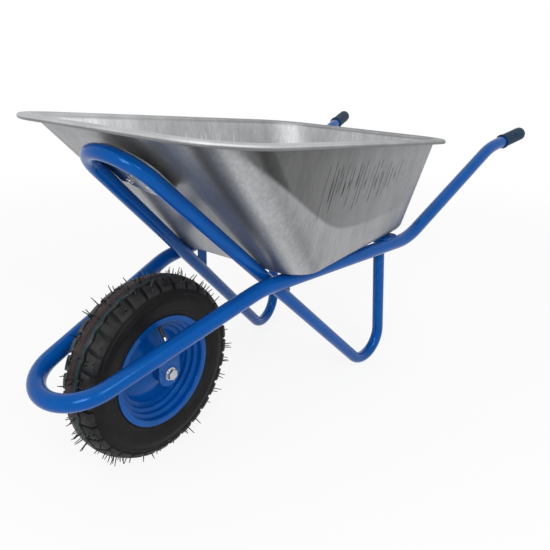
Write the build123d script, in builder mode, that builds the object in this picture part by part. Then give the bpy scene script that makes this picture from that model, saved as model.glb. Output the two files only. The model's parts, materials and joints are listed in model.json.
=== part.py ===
"""Single-wheel builder's barrow: bent tube frame, drawn steel tray, air-filled wheel on ball bearings.

Millimetres. +X runs back to the handles, +Z is up and the barrow is symmetric about the XZ plane.
Stations along X are first given from the wheel axle; the origin is on the ground, under the middle
of the barrow's length.
"""
import os
from math import asin, atan2, cos, hypot, radians, sin, sqrt, tan

from build123d import *

os.makedirs("parts", exist_ok=True)

# Tubes of the frame
main_od = 32.0
main_wall = 1.8
brace_od = 28.0
brace_wall = 1.6
weld_gap = 0.2

# Brace: leg, foot bend, sloping run and front loop, bent from one tube
foot_x = 645.0
foot_half_spread = 181.5
foot_vertex_drop = 81.0
loop_radius = 74.0
loop_rim_drop = 88.0
loop_wall_gap = 28.9

# Main tube: nose in front of the wheel, rails under the tray, handles
nose_x = -148.5
nose_height = 246.0
nose_radius = 81.0
rail_front_x = 168.5
rail_rear_x = 663.0
rail_height = 329.0
handle_bend_x = 1050.0
handle_bend_half_spread = 270.0
handle_bend_height = 521.0
handle_end_x = 1208.0
handle_end_half_spread = 305.5
handle_end_height = 549.5
rail_front_bend_radius = 180.0
rail_rear_bend_radius = 180.0
handle_bend_radius = 220.0

# Grips
grip_wall = 2.6
grip_end_wall = 4.0
grip_length = 104.0
grip_skirt_length = 5.0
grip_skirt_lip = 1.8
grip_end_round = 9.0
grip_fit = 0.1

# Cross strap under the back of the tray
strap_width = 60.0
strap_thickness = 3.0
strap_overhang = 4.0
strap_corner = 10.0
strap_bend_gap = 1.0
leg_setback = 13.0
leg_top_inset = 9.0
strap_bolt_half_spread = 96.0
strap_bolt_pitch = 30.0
seat_gap = 0.2

# Plate across the front loop and its bolts into the tray's front wall
loop_plate_thickness = 3.0
loop_plate_drop = 46.0
loop_bolt_drop = 22.0
loop_bolt_half_spread = 24.0
spacer_wall = 2.6

# Brackets that stand on the brace under the front of the floor
post_x = 270.0
post_width = 26.0
post_thickness = 4.0
post_flange = 44.0
post_bolt_inset = 28.0

# Tray: floor outline, rim outline and sheet
sheet = 1.2
floor_front_x = 212.0
floor_rear_x = 716.0
floor_front_half_width = 209.0
floor_rear_half_width = 198.0
floor_front_corner = 70.0
floor_rear_corner = 96.0
floor_edge_radius = 28.0
rim_front_x = -93.0
rim_rear_x = 772.0
rim_front_height = 643.0
rim_rear_height = 563.5
rim_front_half_width = 287.0
rim_rear_half_width = 267.0
rim_front_corner = 119.0
rim_rear_corner = 112.0
rim_flange = 20.0
bead_radius = 5.0

# Fasteners of the tray
bolt_radius = 4.0
hole_clearance = 0.5
hole_overcut = 1.2
bolt_head_radius = 9.0
bolt_head_height = 4.0
bolt_head_taper = 40.0
nut_across_flats = 13.0
nut_height = 6.5
washer_radius = 8.5
washer_thickness = 1.6
thread_gap = 0.1
bolt_tail = 4.0

# Tyre, inner tube and valve
tyre_radius = 184.0
tyre_half_width = 41.5
tyre_shoulder_half_width = 32.0
tyre_crown_drop = 9.0
tyre_wall = 5.0
tyre_bead_width = 8.0
tread_depth = 4.5
tread_band = 5.0
tread_pitches = 32
tread_slot_width = 4.5
tread_slot_slant = 14.0
tread_groove_half_spread = 11.0
tread_groove_width = 4.0
tread_overcut = 6.0
bead_gap = 0.2
tube_wall = 1.8
tube_gap = 0.3
valve_offset = 21.0
valve_tilt = 34.0
valve_radius = 3.9
valve_length = 31.0
valve_gap = 0.3
valve_core_radius = 2.6
valve_core_length = 8.0
valve_cap_radius = 3.7
valve_cap_end = 1.6

# Rim halves and hub
rim_sheet = 2.0
rim_half_width = 37.0
rim_lip_radius = 111.7
rim_seat_radius = 101.5
rim_seat_width = 12.0
rim_step_count = 2
rim_step_rise = 7.5
rim_step_slope = 2.5
rim_bend_radius = 2.5
rim_seam_width = 10.0
disc_hub_offset = 24.0
disc_collar_inset = 2.0
hub_radius = 20.0
hub_half_length = 36.0
hub_shoulder = 2.5

# Ball bearings
bearing_outer_radius = 16.0
bearing_bore_radius = 6.0
bearing_width = 10.0
bearing_pitch_radius = 11.0
bearing_land = 1.8
ball_radius = 2.9
ball_count = 7
race_gap = 0.15
cage_thickness = 1.6
cage_rim = 0.7
cage_overcut = 1.6
seal_thickness = 0.6
seal_inset = 0.3
seal_lip_gap = 0.3
press_gap = 0.03

# Axle bolt and brackets
axle_head_across_flats = 19.0
axle_head_height = 7.5
axle_nut_height = 10.0
axle_washer_radius = 13.0
axle_washer_thickness = 2.5
axle_tail = 6.0
end_spacer_length = 8.0
axle_spacer_wall = 2.4
axle_bracket_thickness = 5.0
axle_bracket_width = 52.0
axle_bracket_straight = 40.0
axle_bracket_bend = 10.0

main_radius = main_od / 2
brace_radius = brace_od / 2
axle_height = tyre_radius

# Tray floor on the strap, rim sloping down to the back, front wall between them
strap_bottom = rail_height + main_radius + weld_gap
floor_z = strap_bottom + strap_thickness + seat_gap
rim_slope = (rim_front_height - rim_rear_height) / (rim_rear_x - rim_front_x)
rim_stretch = hypot(1, rim_slope)
wall_top_x = rim_front_x + (rim_flange + bead_radius * rim_slope) / rim_stretch
wall_top_z = rim_front_height + (bead_radius - rim_flange * rim_slope) / rim_stretch
wall_lean = atan2(wall_top_z - floor_z, floor_front_x - wall_top_x)

# The loop's centre stays a set distance below the rim and in front of the wall
loop_height = rim_front_height - loop_rim_drop
loop_x = floor_front_x - (loop_height - floor_z) / tan(wall_lean) - loop_wall_gap / sin(wall_lean)


def bend_tip(centre: tuple, radius: float, start: tuple) -> tuple:
    """Mid-plane point where two tubes would meet that run from a start and its mirror image to a U bend.

    The bend's centre is given as (x, z) and the start as (x, y, z).
    """
    x, y, z = start
    centre_x, centre_z = centre
    run = hypot(centre_x - x, centre_z - z)
    half_angle = atan2(y, run) - asin(radius / hypot(run, y))
    reach = radius / sin(half_angle)
    return centre_x + (centre_x - x) / run * reach, centre_z + (centre_z - z) / run * reach


# Each sloping run of the brace lies in an upright plane; the rail lies against its outer side
foot_start = (foot_x, foot_half_spread, -foot_vertex_drop)
loop_tip_x, loop_tip_z = bend_tip((loop_x, loop_height), loop_radius, foot_start)
plan_slope = foot_half_spread / (foot_x - loop_tip_x)
rail_side_step = (main_radius + brace_radius + weld_gap) * hypot(1, plan_slope)


def brace_y(x: float) -> float:
    """Half spread of the brace tubes at a station."""
    return foot_half_spread - plan_slope * (foot_x - x)


def rail_y(x: float) -> float:
    """Half spread of the rails under the tray at a station."""
    return brace_y(x) + rail_side_step


rail_start = (rail_front_x, rail_y(rail_front_x), rail_height)
nose_tip_x, nose_tip_z = bend_tip((nose_x, nose_height), nose_radius, rail_start)
nose_pitch = atan2(nose_height - rail_height, nose_x - rail_front_x)
grip_radius = main_radius + grip_fit + grip_wall
handle_reach = Vector(
    handle_end_x - handle_bend_x,
    handle_end_half_spread - handle_bend_half_spread,
    handle_end_height - handle_bend_height,
).normalized()
grip_overhang = grip_end_wall + grip_fit
front_x = nose_x + nose_radius * cos(nose_pitch) - main_radius
back_x = (
    handle_end_x
    + (grip_overhang - grip_end_round) * handle_reach.X
    + (grip_radius - grip_end_round) * sqrt(1 - handle_reach.X**2)
    + grip_end_round
)
mid_x = (front_x + back_x) / 2


def at(x: float, y: float, z: float) -> Vector:
    """Point whose station is measured back from the axle."""
    return Vector(x - mid_x, y, z)


def other_side(points: list[Vector]) -> list[Vector]:
    """The same points on the other side of the barrow, in reverse order."""
    return [Vector(p.X, -p.Y, p.Z) for p in reversed(points)]


def bent_tube(points: list[Vector], radii: list[float], od: float, wall: float) -> None:
    """Sweep a round tube along straight runs joined by bends, in the current part."""
    with BuildLine() as path:
        FilletPolyline(*points, radius=radii)
    with BuildSketch(Plane(path.line @ 0, z_dir=path.line % 0)) as ring:
        Circle(od / 2)
        Circle(od / 2 - wall, mode=Mode.SUBTRACT)
    sweep(ring.sketch, path=path.wires()[0])


def rod(start: Vector, end: Vector, radius: float, mode: Mode = Mode.ADD) -> None:
    """Round bar from one point to another, in the current part."""
    with BuildSketch(Plane(start, z_dir=end - start)) as disc:
        Circle(radius)
    extrude(disc.sketch, amount=(end - start).length, mode=mode)


def rings(seats: list[Vector], axis: Vector, outer: float, inner: float, height: float) -> None:
    """A ring standing on each seat along an axis, in the current part."""
    for seat in seats:
        with BuildSketch(Plane(seat, z_dir=axis)) as ring:
            Circle(outer)
            Circle(inner, mode=Mode.SUBTRACT)
        extrude(ring.sketch, amount=height)


def hex_nuts(seats: list[Vector], axis: Vector, across_flats: float, bore: float, height: float) -> None:
    """A hexagon nut standing on each seat along an axis, in the current part."""
    for seat in seats:
        with BuildSketch(Plane(seat, z_dir=axis)) as hexagon:
            RegularPolygon(across_flats / 2, 6, major_radius=False)
            Circle(bore, mode=Mode.SUBTRACT)
        extrude(hexagon.sketch, amount=height)


def tray_bolts(seats: list[Vector], axis: Vector, length: float) -> None:
    """A bolt with a low tapered head on each seat, its shank running along an axis, in the current part."""
    for seat in seats:
        with BuildSketch(Plane(seat, z_dir=axis)) as shank:
            Circle(bolt_radius)
        extrude(shank.sketch, amount=length)
        with BuildSketch(Plane(seat, z_dir=axis * -1)) as head:
            Circle(bolt_head_radius)
        extrude(head.sketch, amount=bolt_head_height, taper=bolt_head_taper)


# Main tube
handle_to_rail = [
    at(handle_end_x, handle_end_half_spread, handle_end_height),
    at(handle_bend_x, handle_bend_half_spread, handle_bend_height),
    at(rail_rear_x, rail_y(rail_rear_x), rail_height),
    at(*rail_start),
]
side_bends = [handle_bend_radius, rail_rear_bend_radius, rail_front_bend_radius]
with BuildPart() as main_tube:
    bent_tube(
        handle_to_rail + [at(nose_tip_x, 0, nose_tip_z)] + other_side(handle_to_rail),
        side_bends + [nose_radius] + side_bends[::-1],
        main_od,
        main_wall,
    )

# The strap ends where the rails start to bend up; the legs' tops butt under it
handle_rise = handle_to_rail[1] - handle_to_rail[2]
rail_rear_turn = radians(handle_rise.get_angle(handle_to_rail[2] - handle_to_rail[3]))
strap_x = rail_rear_x - rail_rear_bend_radius * tan(rail_rear_turn / 2) - strap_bend_gap - strap_width / 2
leg_top_x = strap_x + leg_setback
leg_top_y = brace_y(leg_top_x) - leg_top_inset
leg_plan_reach = hypot(foot_x - leg_top_x, foot_half_spread - leg_top_y)
leg_lean = atan2(leg_plan_reach, strap_bottom + foot_vertex_drop)
leg_top_height = strap_bottom - weld_gap - brace_radius * sin(leg_lean)

# Brace tube with both legs; the foot bends rest on the ground
leg_top = at(leg_top_x, leg_top_y, leg_top_height)
foot_vertex = at(*foot_start)
loop_tip = at(loop_tip_x, 0, loop_tip_z)
leg_reach = (leg_top - foot_vertex).normalized()
brace_reach = (loop_tip - foot_vertex).normalized()
foot_half_angle = radians(leg_reach.get_angle(brace_reach)) / 2
foot_rise = (leg_reach + brace_reach).normalized().Z / sin(foot_half_angle)
foot_upright = sqrt(1 - leg_reach.cross(brace_reach).normalized().Z ** 2)
foot_bend_radius = (foot_vertex_drop + brace_radius) / (foot_rise - foot_upright)
with BuildPart() as brace_tube:
    bent_tube(
        [leg_top, foot_vertex, loop_tip] + other_side([leg_top, foot_vertex]),
        [foot_bend_radius, loop_radius, foot_bend_radius],
        brace_od,
        brace_wall,
    )

# Planes of the tray's bead and flange
rim_mid_x = (rim_front_x + rim_rear_x) / 2
rim_mid_height = (rim_front_height + rim_rear_height) / 2
bead_plane = Plane(at(rim_mid_x, 0, rim_mid_height), x_dir=(1, 0, -rim_slope), z_dir=(rim_slope, 0, 1))
rim_plane = bead_plane.offset(bead_radius)
floor_mid_x = (floor_front_x + floor_rear_x) / 2


def rounded_outline(stations: tuple, half_widths: tuple, corners: tuple, inset: float) -> None:
    """Outline with a rounded front and rear, drawn in by an inset, in the current line."""
    front, rear = stations[0] + inset, stations[1] - inset
    half_front, half_rear = half_widths[0] - inset, half_widths[1] - inset
    corner_front, corner_rear = corners[0] - inset, corners[1] - inset
    FilletPolyline(
        (front, -half_front),
        (rear, -half_rear),
        (rear, half_rear),
        (front, half_front),
        radius=[corner_front, corner_rear, corner_rear, corner_front],
        close=True,
    )


def rim_outline(inset: float) -> None:
    """Rounded outline of the rim's bead, drawn in by an inset, in the current line."""
    stations = ((rim_front_x - rim_mid_x) * rim_stretch, (rim_rear_x - rim_mid_x) * rim_stretch)
    half_widths = (rim_front_half_width, rim_rear_half_width)
    rounded_outline(stations, half_widths, (rim_front_corner, rim_rear_corner), inset)


def floor_outline(inset: float) -> None:
    """Rounded outline of the floor, drawn in by an inset, in the current line."""
    stations = (floor_front_x - floor_mid_x, floor_rear_x - floor_mid_x)
    half_widths = (floor_front_half_width, floor_rear_half_width)
    rounded_outline(stations, half_widths, (floor_front_corner, floor_rear_corner), inset)


def tray_body(inset: float, edge_radius: float) -> Part:
    """Solid between the floor and the rim with rounded floor edges."""
    with BuildPart() as body:
        with BuildSketch(Plane(at(floor_mid_x, 0, floor_z + inset))):
            with BuildLine():
                floor_outline(inset)
            make_face()
        with BuildSketch(rim_plane):
            with BuildLine():
                rim_outline(rim_flange + inset)
            make_face()
        loft()
        fillet(body.faces().sort_by(Axis.Z)[0].edges(), edge_radius)
    return body.part


# Front wall of the tray, the loop plate and the bolts between them
wall_foot = at(floor_front_x, 0, floor_z)
wall_out = Vector(-sin(wall_lean), 0, -cos(wall_lean))
loop_centre = at(loop_x, 0, loop_height)
loop_axis = Vector(brace_reach.X, 0, brace_reach.Z).normalized()
loop_normal = Vector(loop_axis.Z, 0, -loop_axis.X)
plate_bottom = loop_centre + loop_normal * (brace_radius + weld_gap)
plate_top = plate_bottom + loop_normal * loop_plate_thickness
loop_bolt_spots = [
    loop_axis * -loop_bolt_drop + Vector(0, side * loop_bolt_half_spread, 0) for side in (-1, 1)
]
wall_tilt = radians(wall_out.get_angle(loop_normal * -1))
spacer_radius = bolt_radius + thread_gap + spacer_wall
spacer_slack = spacer_radius * tan(wall_tilt) + seat_gap
wall_reach = (wall_foot - (plate_top - loop_axis * loop_bolt_drop)).dot(wall_out) / loop_normal.dot(wall_out)
spacer_length = wall_reach - spacer_slack
head_slack = bolt_head_radius * tan(wall_tilt) + seat_gap
loop_head_rise = wall_reach + sheet / cos(wall_tilt) + head_slack
loop_head_seats = [plate_top + spot + loop_normal * loop_head_rise for spot in loop_bolt_spots]
loop_nut_seats = [
    plate_bottom + spot - loop_normal * (seat_gap + washer_thickness + seat_gap) for spot in loop_bolt_spots
]
loop_bolt_length = (loop_head_seats[0] - loop_nut_seats[0]).length + nut_height + bolt_tail

with BuildPart() as loop_plate:
    with BuildSketch(Plane(plate_bottom, x_dir=loop_axis, z_dir=loop_normal)):
        Circle(loop_radius)
        with Locations((-loop_plate_drop / 2, 0)):
            Rectangle(loop_plate_drop, 2 * loop_radius)
        with Locations((-loop_bolt_drop, -loop_bolt_half_spread), (-loop_bolt_drop, loop_bolt_half_spread)):
            Circle(bolt_radius + hole_clearance, mode=Mode.SUBTRACT)
    extrude(amount=loop_plate_thickness)

with BuildPart() as loop_spacers:
    spacer_seats = [plate_top + spot + loop_normal * seat_gap for spot in loop_bolt_spots]
    rings(spacer_seats, loop_normal, spacer_radius, bolt_radius + thread_gap, spacer_length - seat_gap)

with BuildPart() as loop_bolts:
    tray_bolts(loop_head_seats, loop_normal * -1, loop_bolt_length)

with BuildPart() as loop_washers:
    washer_seats = [plate_bottom + spot - loop_normal * seat_gap for spot in loop_bolt_spots]
    rings(washer_seats, loop_normal * -1, washer_radius, bolt_radius + thread_gap, washer_thickness)

with BuildPart() as loop_nuts:
    hex_nuts(loop_nut_seats, loop_normal * -1, nut_across_flats, bolt_radius + thread_gap, nut_height)

# Strap across the rails and its bolts through the floor
down = Vector(0, 0, -1)
strap_half_length = rail_y(strap_x) + strap_overhang
strap_bolt_spots = [
    at(strap_x + step * strap_bolt_pitch / 2, side * strap_bolt_half_spread, 0)
    for side in (-1, 1)
    for step in (-1, 1)
]
with BuildPart() as cross_strap:
    with BuildSketch(Plane(at(strap_x, 0, strap_bottom))):
        RectangleRounded(strap_width, 2 * strap_half_length, strap_corner)
        with GridLocations(strap_bolt_pitch, 2 * strap_bolt_half_spread, 2, 2):
            Circle(bolt_radius + hole_clearance, mode=Mode.SUBTRACT)
    extrude(amount=strap_thickness)


def raised(spots: list[Vector], height: float) -> list[Vector]:
    """The same plan points at a height."""
    return [Vector(spot.X, spot.Y, height) for spot in spots]


floor_head_z = floor_z + sheet + seat_gap
strap_nut_z = strap_bottom - 2 * seat_gap - washer_thickness
strap_bolt_length = floor_head_z - strap_nut_z + nut_height + bolt_tail
with BuildPart() as strap_bolts:
    tray_bolts(raised(strap_bolt_spots, floor_head_z), down, strap_bolt_length)

with BuildPart() as strap_washers:
    strap_washer_seats = raised(strap_bolt_spots, strap_bottom - seat_gap)
    rings(strap_washer_seats, down, washer_radius, bolt_radius + thread_gap, washer_thickness)

with BuildPart() as strap_nuts:
    strap_nut_seats = raised(strap_bolt_spots, strap_nut_z)
    hex_nuts(strap_nut_seats, down, nut_across_flats, bolt_radius + thread_gap, nut_height)

# Posts on the brace that carry the front of the floor
brace_rise = (loop_tip_z + foot_vertex_drop) / (foot_x - loop_tip_x)
post_y = brace_y(post_x)
post_base_z = (foot_x - post_x) * brace_rise - foot_vertex_drop
post_top = floor_z - seat_gap
post_bolt_y = post_y - post_bolt_inset
with BuildPart() as right_post:
    with BuildSketch(Plane(at(post_x - post_width / 2, 0, 0), x_dir=(0, 1, 0), z_dir=(1, 0, 0))):
        with BuildLine():
            Polyline(
                (post_y - post_thickness / 2, post_base_z),
                (post_y + post_thickness / 2, post_base_z),
                (post_y + post_thickness / 2, post_top),
                (post_y - post_flange, post_top),
                (post_y - post_flange, post_top - post_thickness),
                (post_y - post_thickness / 2, post_top - post_thickness),
                close=True,
            )
        make_face()
    extrude(amount=post_width)
    fillet(right_post.edges().filter_by(Axis.X).sort_by(Axis.Z)[-2:].sort_by(Axis.Y)[-1], post_thickness)
    with Locations(Plane(at(post_x, post_bolt_y, post_top))):
        Hole(bolt_radius + hole_clearance, depth=post_thickness + hole_overcut)
    rod(foot_vertex, loop_tip, brace_radius + weld_gap, mode=Mode.SUBTRACT)

with BuildPart() as left_post:
    mirror(right_post.part, about=Plane.XZ)

post_bolt_spots = [at(post_x, side * post_bolt_y, 0) for side in (-1, 1)]
post_nut_z = post_top - post_thickness - 2 * seat_gap - washer_thickness
post_bolt_length = floor_head_z - post_nut_z + nut_height + bolt_tail
with BuildPart() as post_bolts:
    tray_bolts(raised(post_bolt_spots, floor_head_z), down, post_bolt_length)

with BuildPart() as post_washers:
    post_washer_seats = raised(post_bolt_spots, post_top - post_thickness - seat_gap)
    rings(post_washer_seats, down, washer_radius, bolt_radius + thread_gap, washer_thickness)

with BuildPart() as post_nuts:
    post_nut_seats = raised(post_bolt_spots, post_nut_z)
    hex_nuts(post_nut_seats, down, nut_across_flats, bolt_radius + thread_gap, nut_height)

# Tray with its flange, rolled bead and bolt holes
with BuildPart() as tray:
    add(tray_body(0, floor_edge_radius))
    with BuildSketch(rim_plane):
        with BuildLine():
            rim_outline(0)
        make_face()
    extrude(amount=-sheet)
    with BuildLine(bead_plane) as bead_path:
        rim_outline(0)
    with BuildSketch(Plane(bead_path.line @ 0, z_dir=bead_path.line % 0)):
        Circle(bead_radius)
    sweep(path=bead_path.wires()[0])
    add(tray_body(sheet, floor_edge_radius - sheet), mode=Mode.SUBTRACT)
    hole_height = Vector(0, 0, sheet + 2 * hole_overcut)
    for spot in raised(strap_bolt_spots + post_bolt_spots, floor_z - hole_overcut):
        rod(spot, spot + hole_height, bolt_radius + hole_clearance, mode=Mode.SUBTRACT)
    for seat in loop_head_seats:
        rod(seat, seat - loop_normal * (loop_head_rise - spacer_length), bolt_radius + hole_clearance,
            mode=Mode.SUBTRACT)

# Grips on the handle ends
grip_start = at(handle_end_x, handle_end_half_spread, handle_end_height) - handle_reach * (
    grip_length - grip_overhang
)
with BuildPart() as right_grip:
    with BuildSketch(Plane(grip_start, z_dir=handle_reach)):
        Circle(grip_radius)
    extrude(amount=grip_length)
    fillet(right_grip.faces().sort_by(Axis(grip_start, handle_reach))[-1].edges(), grip_end_round)
    with BuildSketch(Plane(grip_start, z_dir=handle_reach)):
        Circle(grip_radius + grip_skirt_lip)
    extrude(amount=grip_skirt_length)
    rod(grip_start, grip_start + handle_reach * (grip_length - grip_end_wall), main_radius + grip_fit,
        mode=Mode.SUBTRACT)

with BuildPart() as left_grip:
    mirror(right_grip.part, about=Plane.XZ)

# Wheel: sections are drawn as (distance along the axle, radius) and turned about it
axle_centre = at(0, 0, axle_height)
axle_axis = Axis(axle_centre, (0, 1, 0))
axle_section = Plane(axle_centre, x_dir=(0, 1, 0), z_dir=(1, 0, 0))


def turned_ring(start: float, end: float, inner: float, outer: float, mode: Mode = Mode.ADD) -> None:
    """Turn a plain ring between two places along the axle, in the current part."""
    with BuildSketch(axle_section) as section:
        with Locations(((start + end) / 2, (inner + outer) / 2)):
            Rectangle(abs(end - start), outer - inner)
    revolve(section.sketch, axis=axle_axis, mode=mode)


# Rim half: lip, bead seat, stepped well, flat seam at the mid-plane, then the disc out to the hub
lip_y = rim_half_width - rim_sheet / 2
seat_r = rim_seat_radius - rim_sheet / 2
seam_y = (rim_sheet + weld_gap) / 2
step_run = (lip_y - rim_seat_width - seam_y) / rim_step_count - rim_step_slope
collar_r = hub_radius + weld_gap + rim_sheet / 2
rim_points = [(lip_y, rim_lip_radius), (lip_y, seat_r), (lip_y - rim_seat_width, seat_r)]
for step in range(1, rim_step_count + 1):
    step_y = lip_y - rim_seat_width - step * (step_run + rim_step_slope)
    step_r = seat_r - step * rim_step_rise
    rim_points += [(step_y + step_run, step_r), (step_y, step_r)]
seam_r = step_r - rim_seam_width
collar_y = hub_half_length - disc_collar_inset
rim_points += [(seam_y, seam_r), (disc_hub_offset, collar_r), (collar_y, collar_r)]
with BuildPart() as right_rim_half:
    with BuildSketch(axle_section):
        with BuildLine():
            FilletPolyline(*rim_points, radius=rim_bend_radius)
        trace(line_width=rim_sheet)
    revolve(axis=axle_axis)

# Valve: a stem that leaves the left rim half on a slant, with a capped core
valve_dir = Vector(0, -sin(radians(valve_tilt)), -cos(radians(valve_tilt)))
valve_root_r = rim_seat_radius + tube_gap - seat_gap - valve_radius * sin(radians(valve_tilt))
valve_root = axle_centre + Vector(0, -valve_offset, valve_root_r)
valve_tip = valve_root + valve_dir * valve_length
with BuildPart() as left_rim_half:
    mirror(right_rim_half.part, about=Plane.XZ)
    rod(valve_root, valve_tip, valve_radius + valve_gap, mode=Mode.SUBTRACT)

with BuildPart() as valve_stem:
    rod(valve_root, valve_tip, valve_radius)
    rod(valve_tip, valve_tip + valve_dir * valve_core_length, valve_core_radius)

with BuildPart() as valve_cap:
    cap_start = valve_tip + valve_dir * thread_gap
    cap_depth = valve_core_length
    rod(cap_start, cap_start + valve_dir * (cap_depth + valve_cap_end), valve_cap_radius)
    rod(cap_start, cap_start + valve_dir * cap_depth, valve_core_radius + thread_gap, mode=Mode.SUBTRACT)

# Tyre with a grooved tread, and the tube inside it
bead_y = lip_y - rim_sheet / 2 - bead_gap
toe_y = bead_y - tyre_bead_width
toe_r = rim_seat_radius + bead_gap
shoulder_r = tyre_radius - tyre_crown_drop
widest_r = (rim_lip_radius + shoulder_r) / 2
crown_thickness = tread_band + tread_depth


def air_space(inset: float) -> None:
    """Outline of the room inside the tyre and over the rim, drawn in by an inset, in the current line."""
    toe = toe_y - inset
    shoulder = (tyre_shoulder_half_width - tyre_wall - inset, shoulder_r - crown_thickness - inset)
    base = rim_seat_radius + inset
    other_shoulder = (-shoulder[0], shoulder[1])
    widest = tyre_half_width - tyre_wall - inset
    ThreePointArc(other_shoulder, (0, tyre_radius - crown_thickness - inset), shoulder)
    ThreePointArc(shoulder, (widest, widest_r), (toe, rim_lip_radius))
    Polyline((toe, rim_lip_radius), (toe, base), (-toe, base), (-toe, rim_lip_radius))
    ThreePointArc((-toe, rim_lip_radius), (-widest, widest_r), other_shoulder)


# One shoulder slot's cutter: X runs out along a radius, Z along the axle
slot_start = tread_groove_half_spread
slot_end = tyre_shoulder_half_width + tread_overcut
slot_fall = tyre_crown_drop / tyre_shoulder_half_width**2
with BuildPart() as slot_cutter:
    with BuildSketch(Plane.XZ):
        with BuildLine():
            Polyline(
                (tyre_radius - tread_depth - slot_fall * slot_start**2, slot_start),
                (tyre_radius - tread_depth - slot_fall * slot_end**2, slot_end),
                (tyre_radius + tread_depth, slot_end),
                (tyre_radius + tread_depth, slot_start),
                close=True,
            )
        make_face()
    extrude(amount=tread_slot_width / 2, both=True)

with BuildPart() as tyre:
    with BuildSketch(axle_section):
        with BuildLine():
            left_shoulder = (-tyre_shoulder_half_width, shoulder_r)
            right_shoulder = (tyre_shoulder_half_width, shoulder_r)
            ThreePointArc(left_shoulder, (0, tyre_radius), right_shoulder)
            ThreePointArc(right_shoulder, (tyre_half_width, widest_r), (bead_y, rim_lip_radius))
            FilletPolyline(
                (bead_y, rim_lip_radius),
                (bead_y, toe_r),
                (-bead_y, toe_r),
                (-bead_y, rim_lip_radius),
                radius=rim_bend_radius,
            )
            ThreePointArc((-bead_y, rim_lip_radius), (-tyre_half_width, widest_r), left_shoulder)
        make_face()
        with BuildLine():
            air_space(0)
        make_face(mode=Mode.SUBTRACT)
    revolve(axis=axle_axis)
    for side in (-1, 1):
        groove_edge = side * tread_groove_half_spread - tread_groove_width / 2
        groove_floor = tyre_radius - tread_depth - slot_fall * tread_groove_half_spread**2
        turned_ring(
            groove_edge, groove_edge + tread_groove_width, groove_floor, tyre_radius, mode=Mode.SUBTRACT
        )
        wheel_face = Plane(axle_centre, x_dir=(1, 0, 0), z_dir=(0, side, 0))
        with Locations(wheel_face):
            with PolarLocations(0, tread_pitches):
                add(slot_cutter.part, rotation=(side * tread_slot_slant, 0, 0), mode=Mode.SUBTRACT)

with BuildPart() as inner_tube:
    with BuildSketch(axle_section):
        with BuildLine():
            air_space(tube_gap)
        make_face()
        with BuildLine():
            air_space(tube_gap + tube_wall)
        make_face(mode=Mode.SUBTRACT)
    revolve(axis=axle_axis)

# Hub tube: a bore with a shoulder behind each bearing
bearing_inner_face = hub_half_length - bearing_width
with BuildPart() as hub_tube:
    turned_ring(-hub_half_length, hub_half_length, bearing_outer_radius - hub_shoulder, hub_radius)
    for side in (-1, 1):
        turned_ring(
            side * bearing_inner_face,
            side * hub_half_length,
            bearing_outer_radius - hub_shoulder,
            bearing_outer_radius + press_gap,
            mode=Mode.SUBTRACT,
        )

# Ball bearings, one in each end of the hub
pieces = {}
inner_ring_radius = bearing_pitch_radius - bearing_land
outer_ring_bore = bearing_pitch_radius + bearing_land
race_radius = ball_radius + race_gap
seal_reach = bearing_width / 2 - seal_inset
for name, side in (("left", -1), ("right", 1)):
    bearing_y = side * (bearing_inner_face + bearing_width / 2)
    bearing_centre = axle_centre + Vector(0, bearing_y, 0)
    start_y = bearing_y - bearing_width / 2 + press_gap
    end_y = bearing_y + bearing_width / 2 - press_gap

    with BuildPart() as inner_ring:
        turned_ring(start_y, end_y, bearing_bore_radius + press_gap, inner_ring_radius)
        with BuildSketch(axle_section):
            with Locations((bearing_y, bearing_pitch_radius)):
                Circle(race_radius)
        revolve(axis=axle_axis, mode=Mode.SUBTRACT)
    pieces[name + "_inner_ring"] = inner_ring

    with BuildPart() as outer_ring:
        turned_ring(start_y, end_y, outer_ring_bore, bearing_outer_radius)
        with BuildSketch(axle_section):
            with Locations((bearing_y, bearing_pitch_radius)):
                Circle(race_radius)
        revolve(axis=axle_axis, mode=Mode.SUBTRACT)
    pieces[name + "_outer_ring"] = outer_ring

    with BuildPart() as balls:
        with Locations(Plane(bearing_centre, x_dir=(1, 0, 0), z_dir=(0, 1, 0))):
            with PolarLocations(bearing_pitch_radius, ball_count):
                Sphere(ball_radius)
    pieces[name + "_balls"] = balls

    with BuildPart() as cage:
        cage_half_width = race_radius + cage_rim
        turned_ring(
            bearing_y - cage_half_width,
            bearing_y + cage_half_width,
            bearing_pitch_radius - cage_thickness / 2,
            bearing_pitch_radius + cage_thickness / 2,
        )
        with Locations(Plane(bearing_centre, x_dir=(1, 0, 0), z_dir=(0, 1, 0))):
            with PolarLocations(bearing_pitch_radius, ball_count):
                Cylinder(race_radius, cage_thickness + cage_overcut, rotation=(0, 90, 0), mode=Mode.SUBTRACT)
    pieces[name + "_cage"] = cage

    with BuildPart() as seals:
        for face in (-1, 1):
            turned_ring(
                bearing_y + face * seal_reach,
                bearing_y + face * (seal_reach - seal_thickness),
                inner_ring_radius + seal_lip_gap,
                outer_ring_bore - press_gap,
            )
    pieces[name + "_seals"] = seals

# Axle: bolt, nut, washers and the spacers between the brackets and the bearings
bracket_inner = hub_half_length + end_spacer_length
bracket_outer = bracket_inner + axle_bracket_thickness
washer_face = bracket_outer + press_gap + axle_washer_thickness
axle_radius = bearing_bore_radius - press_gap
spacer_bore = bearing_bore_radius + press_gap
axle_spacer_radius = spacer_bore + axle_spacer_wall
across = Vector(0, 1, 0)
with BuildPart() as axle_bolt:
    head_seat = axle_centre - across * (washer_face + press_gap)
    shank_length = 2 * (washer_face + press_gap) + axle_nut_height + axle_tail
    rod(head_seat, head_seat + across * shank_length, axle_radius)
    with BuildSketch(Plane(head_seat, z_dir=across * -1)):
        RegularPolygon(axle_head_across_flats / 2, 6, major_radius=False)
    extrude(amount=axle_head_height)

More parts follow.
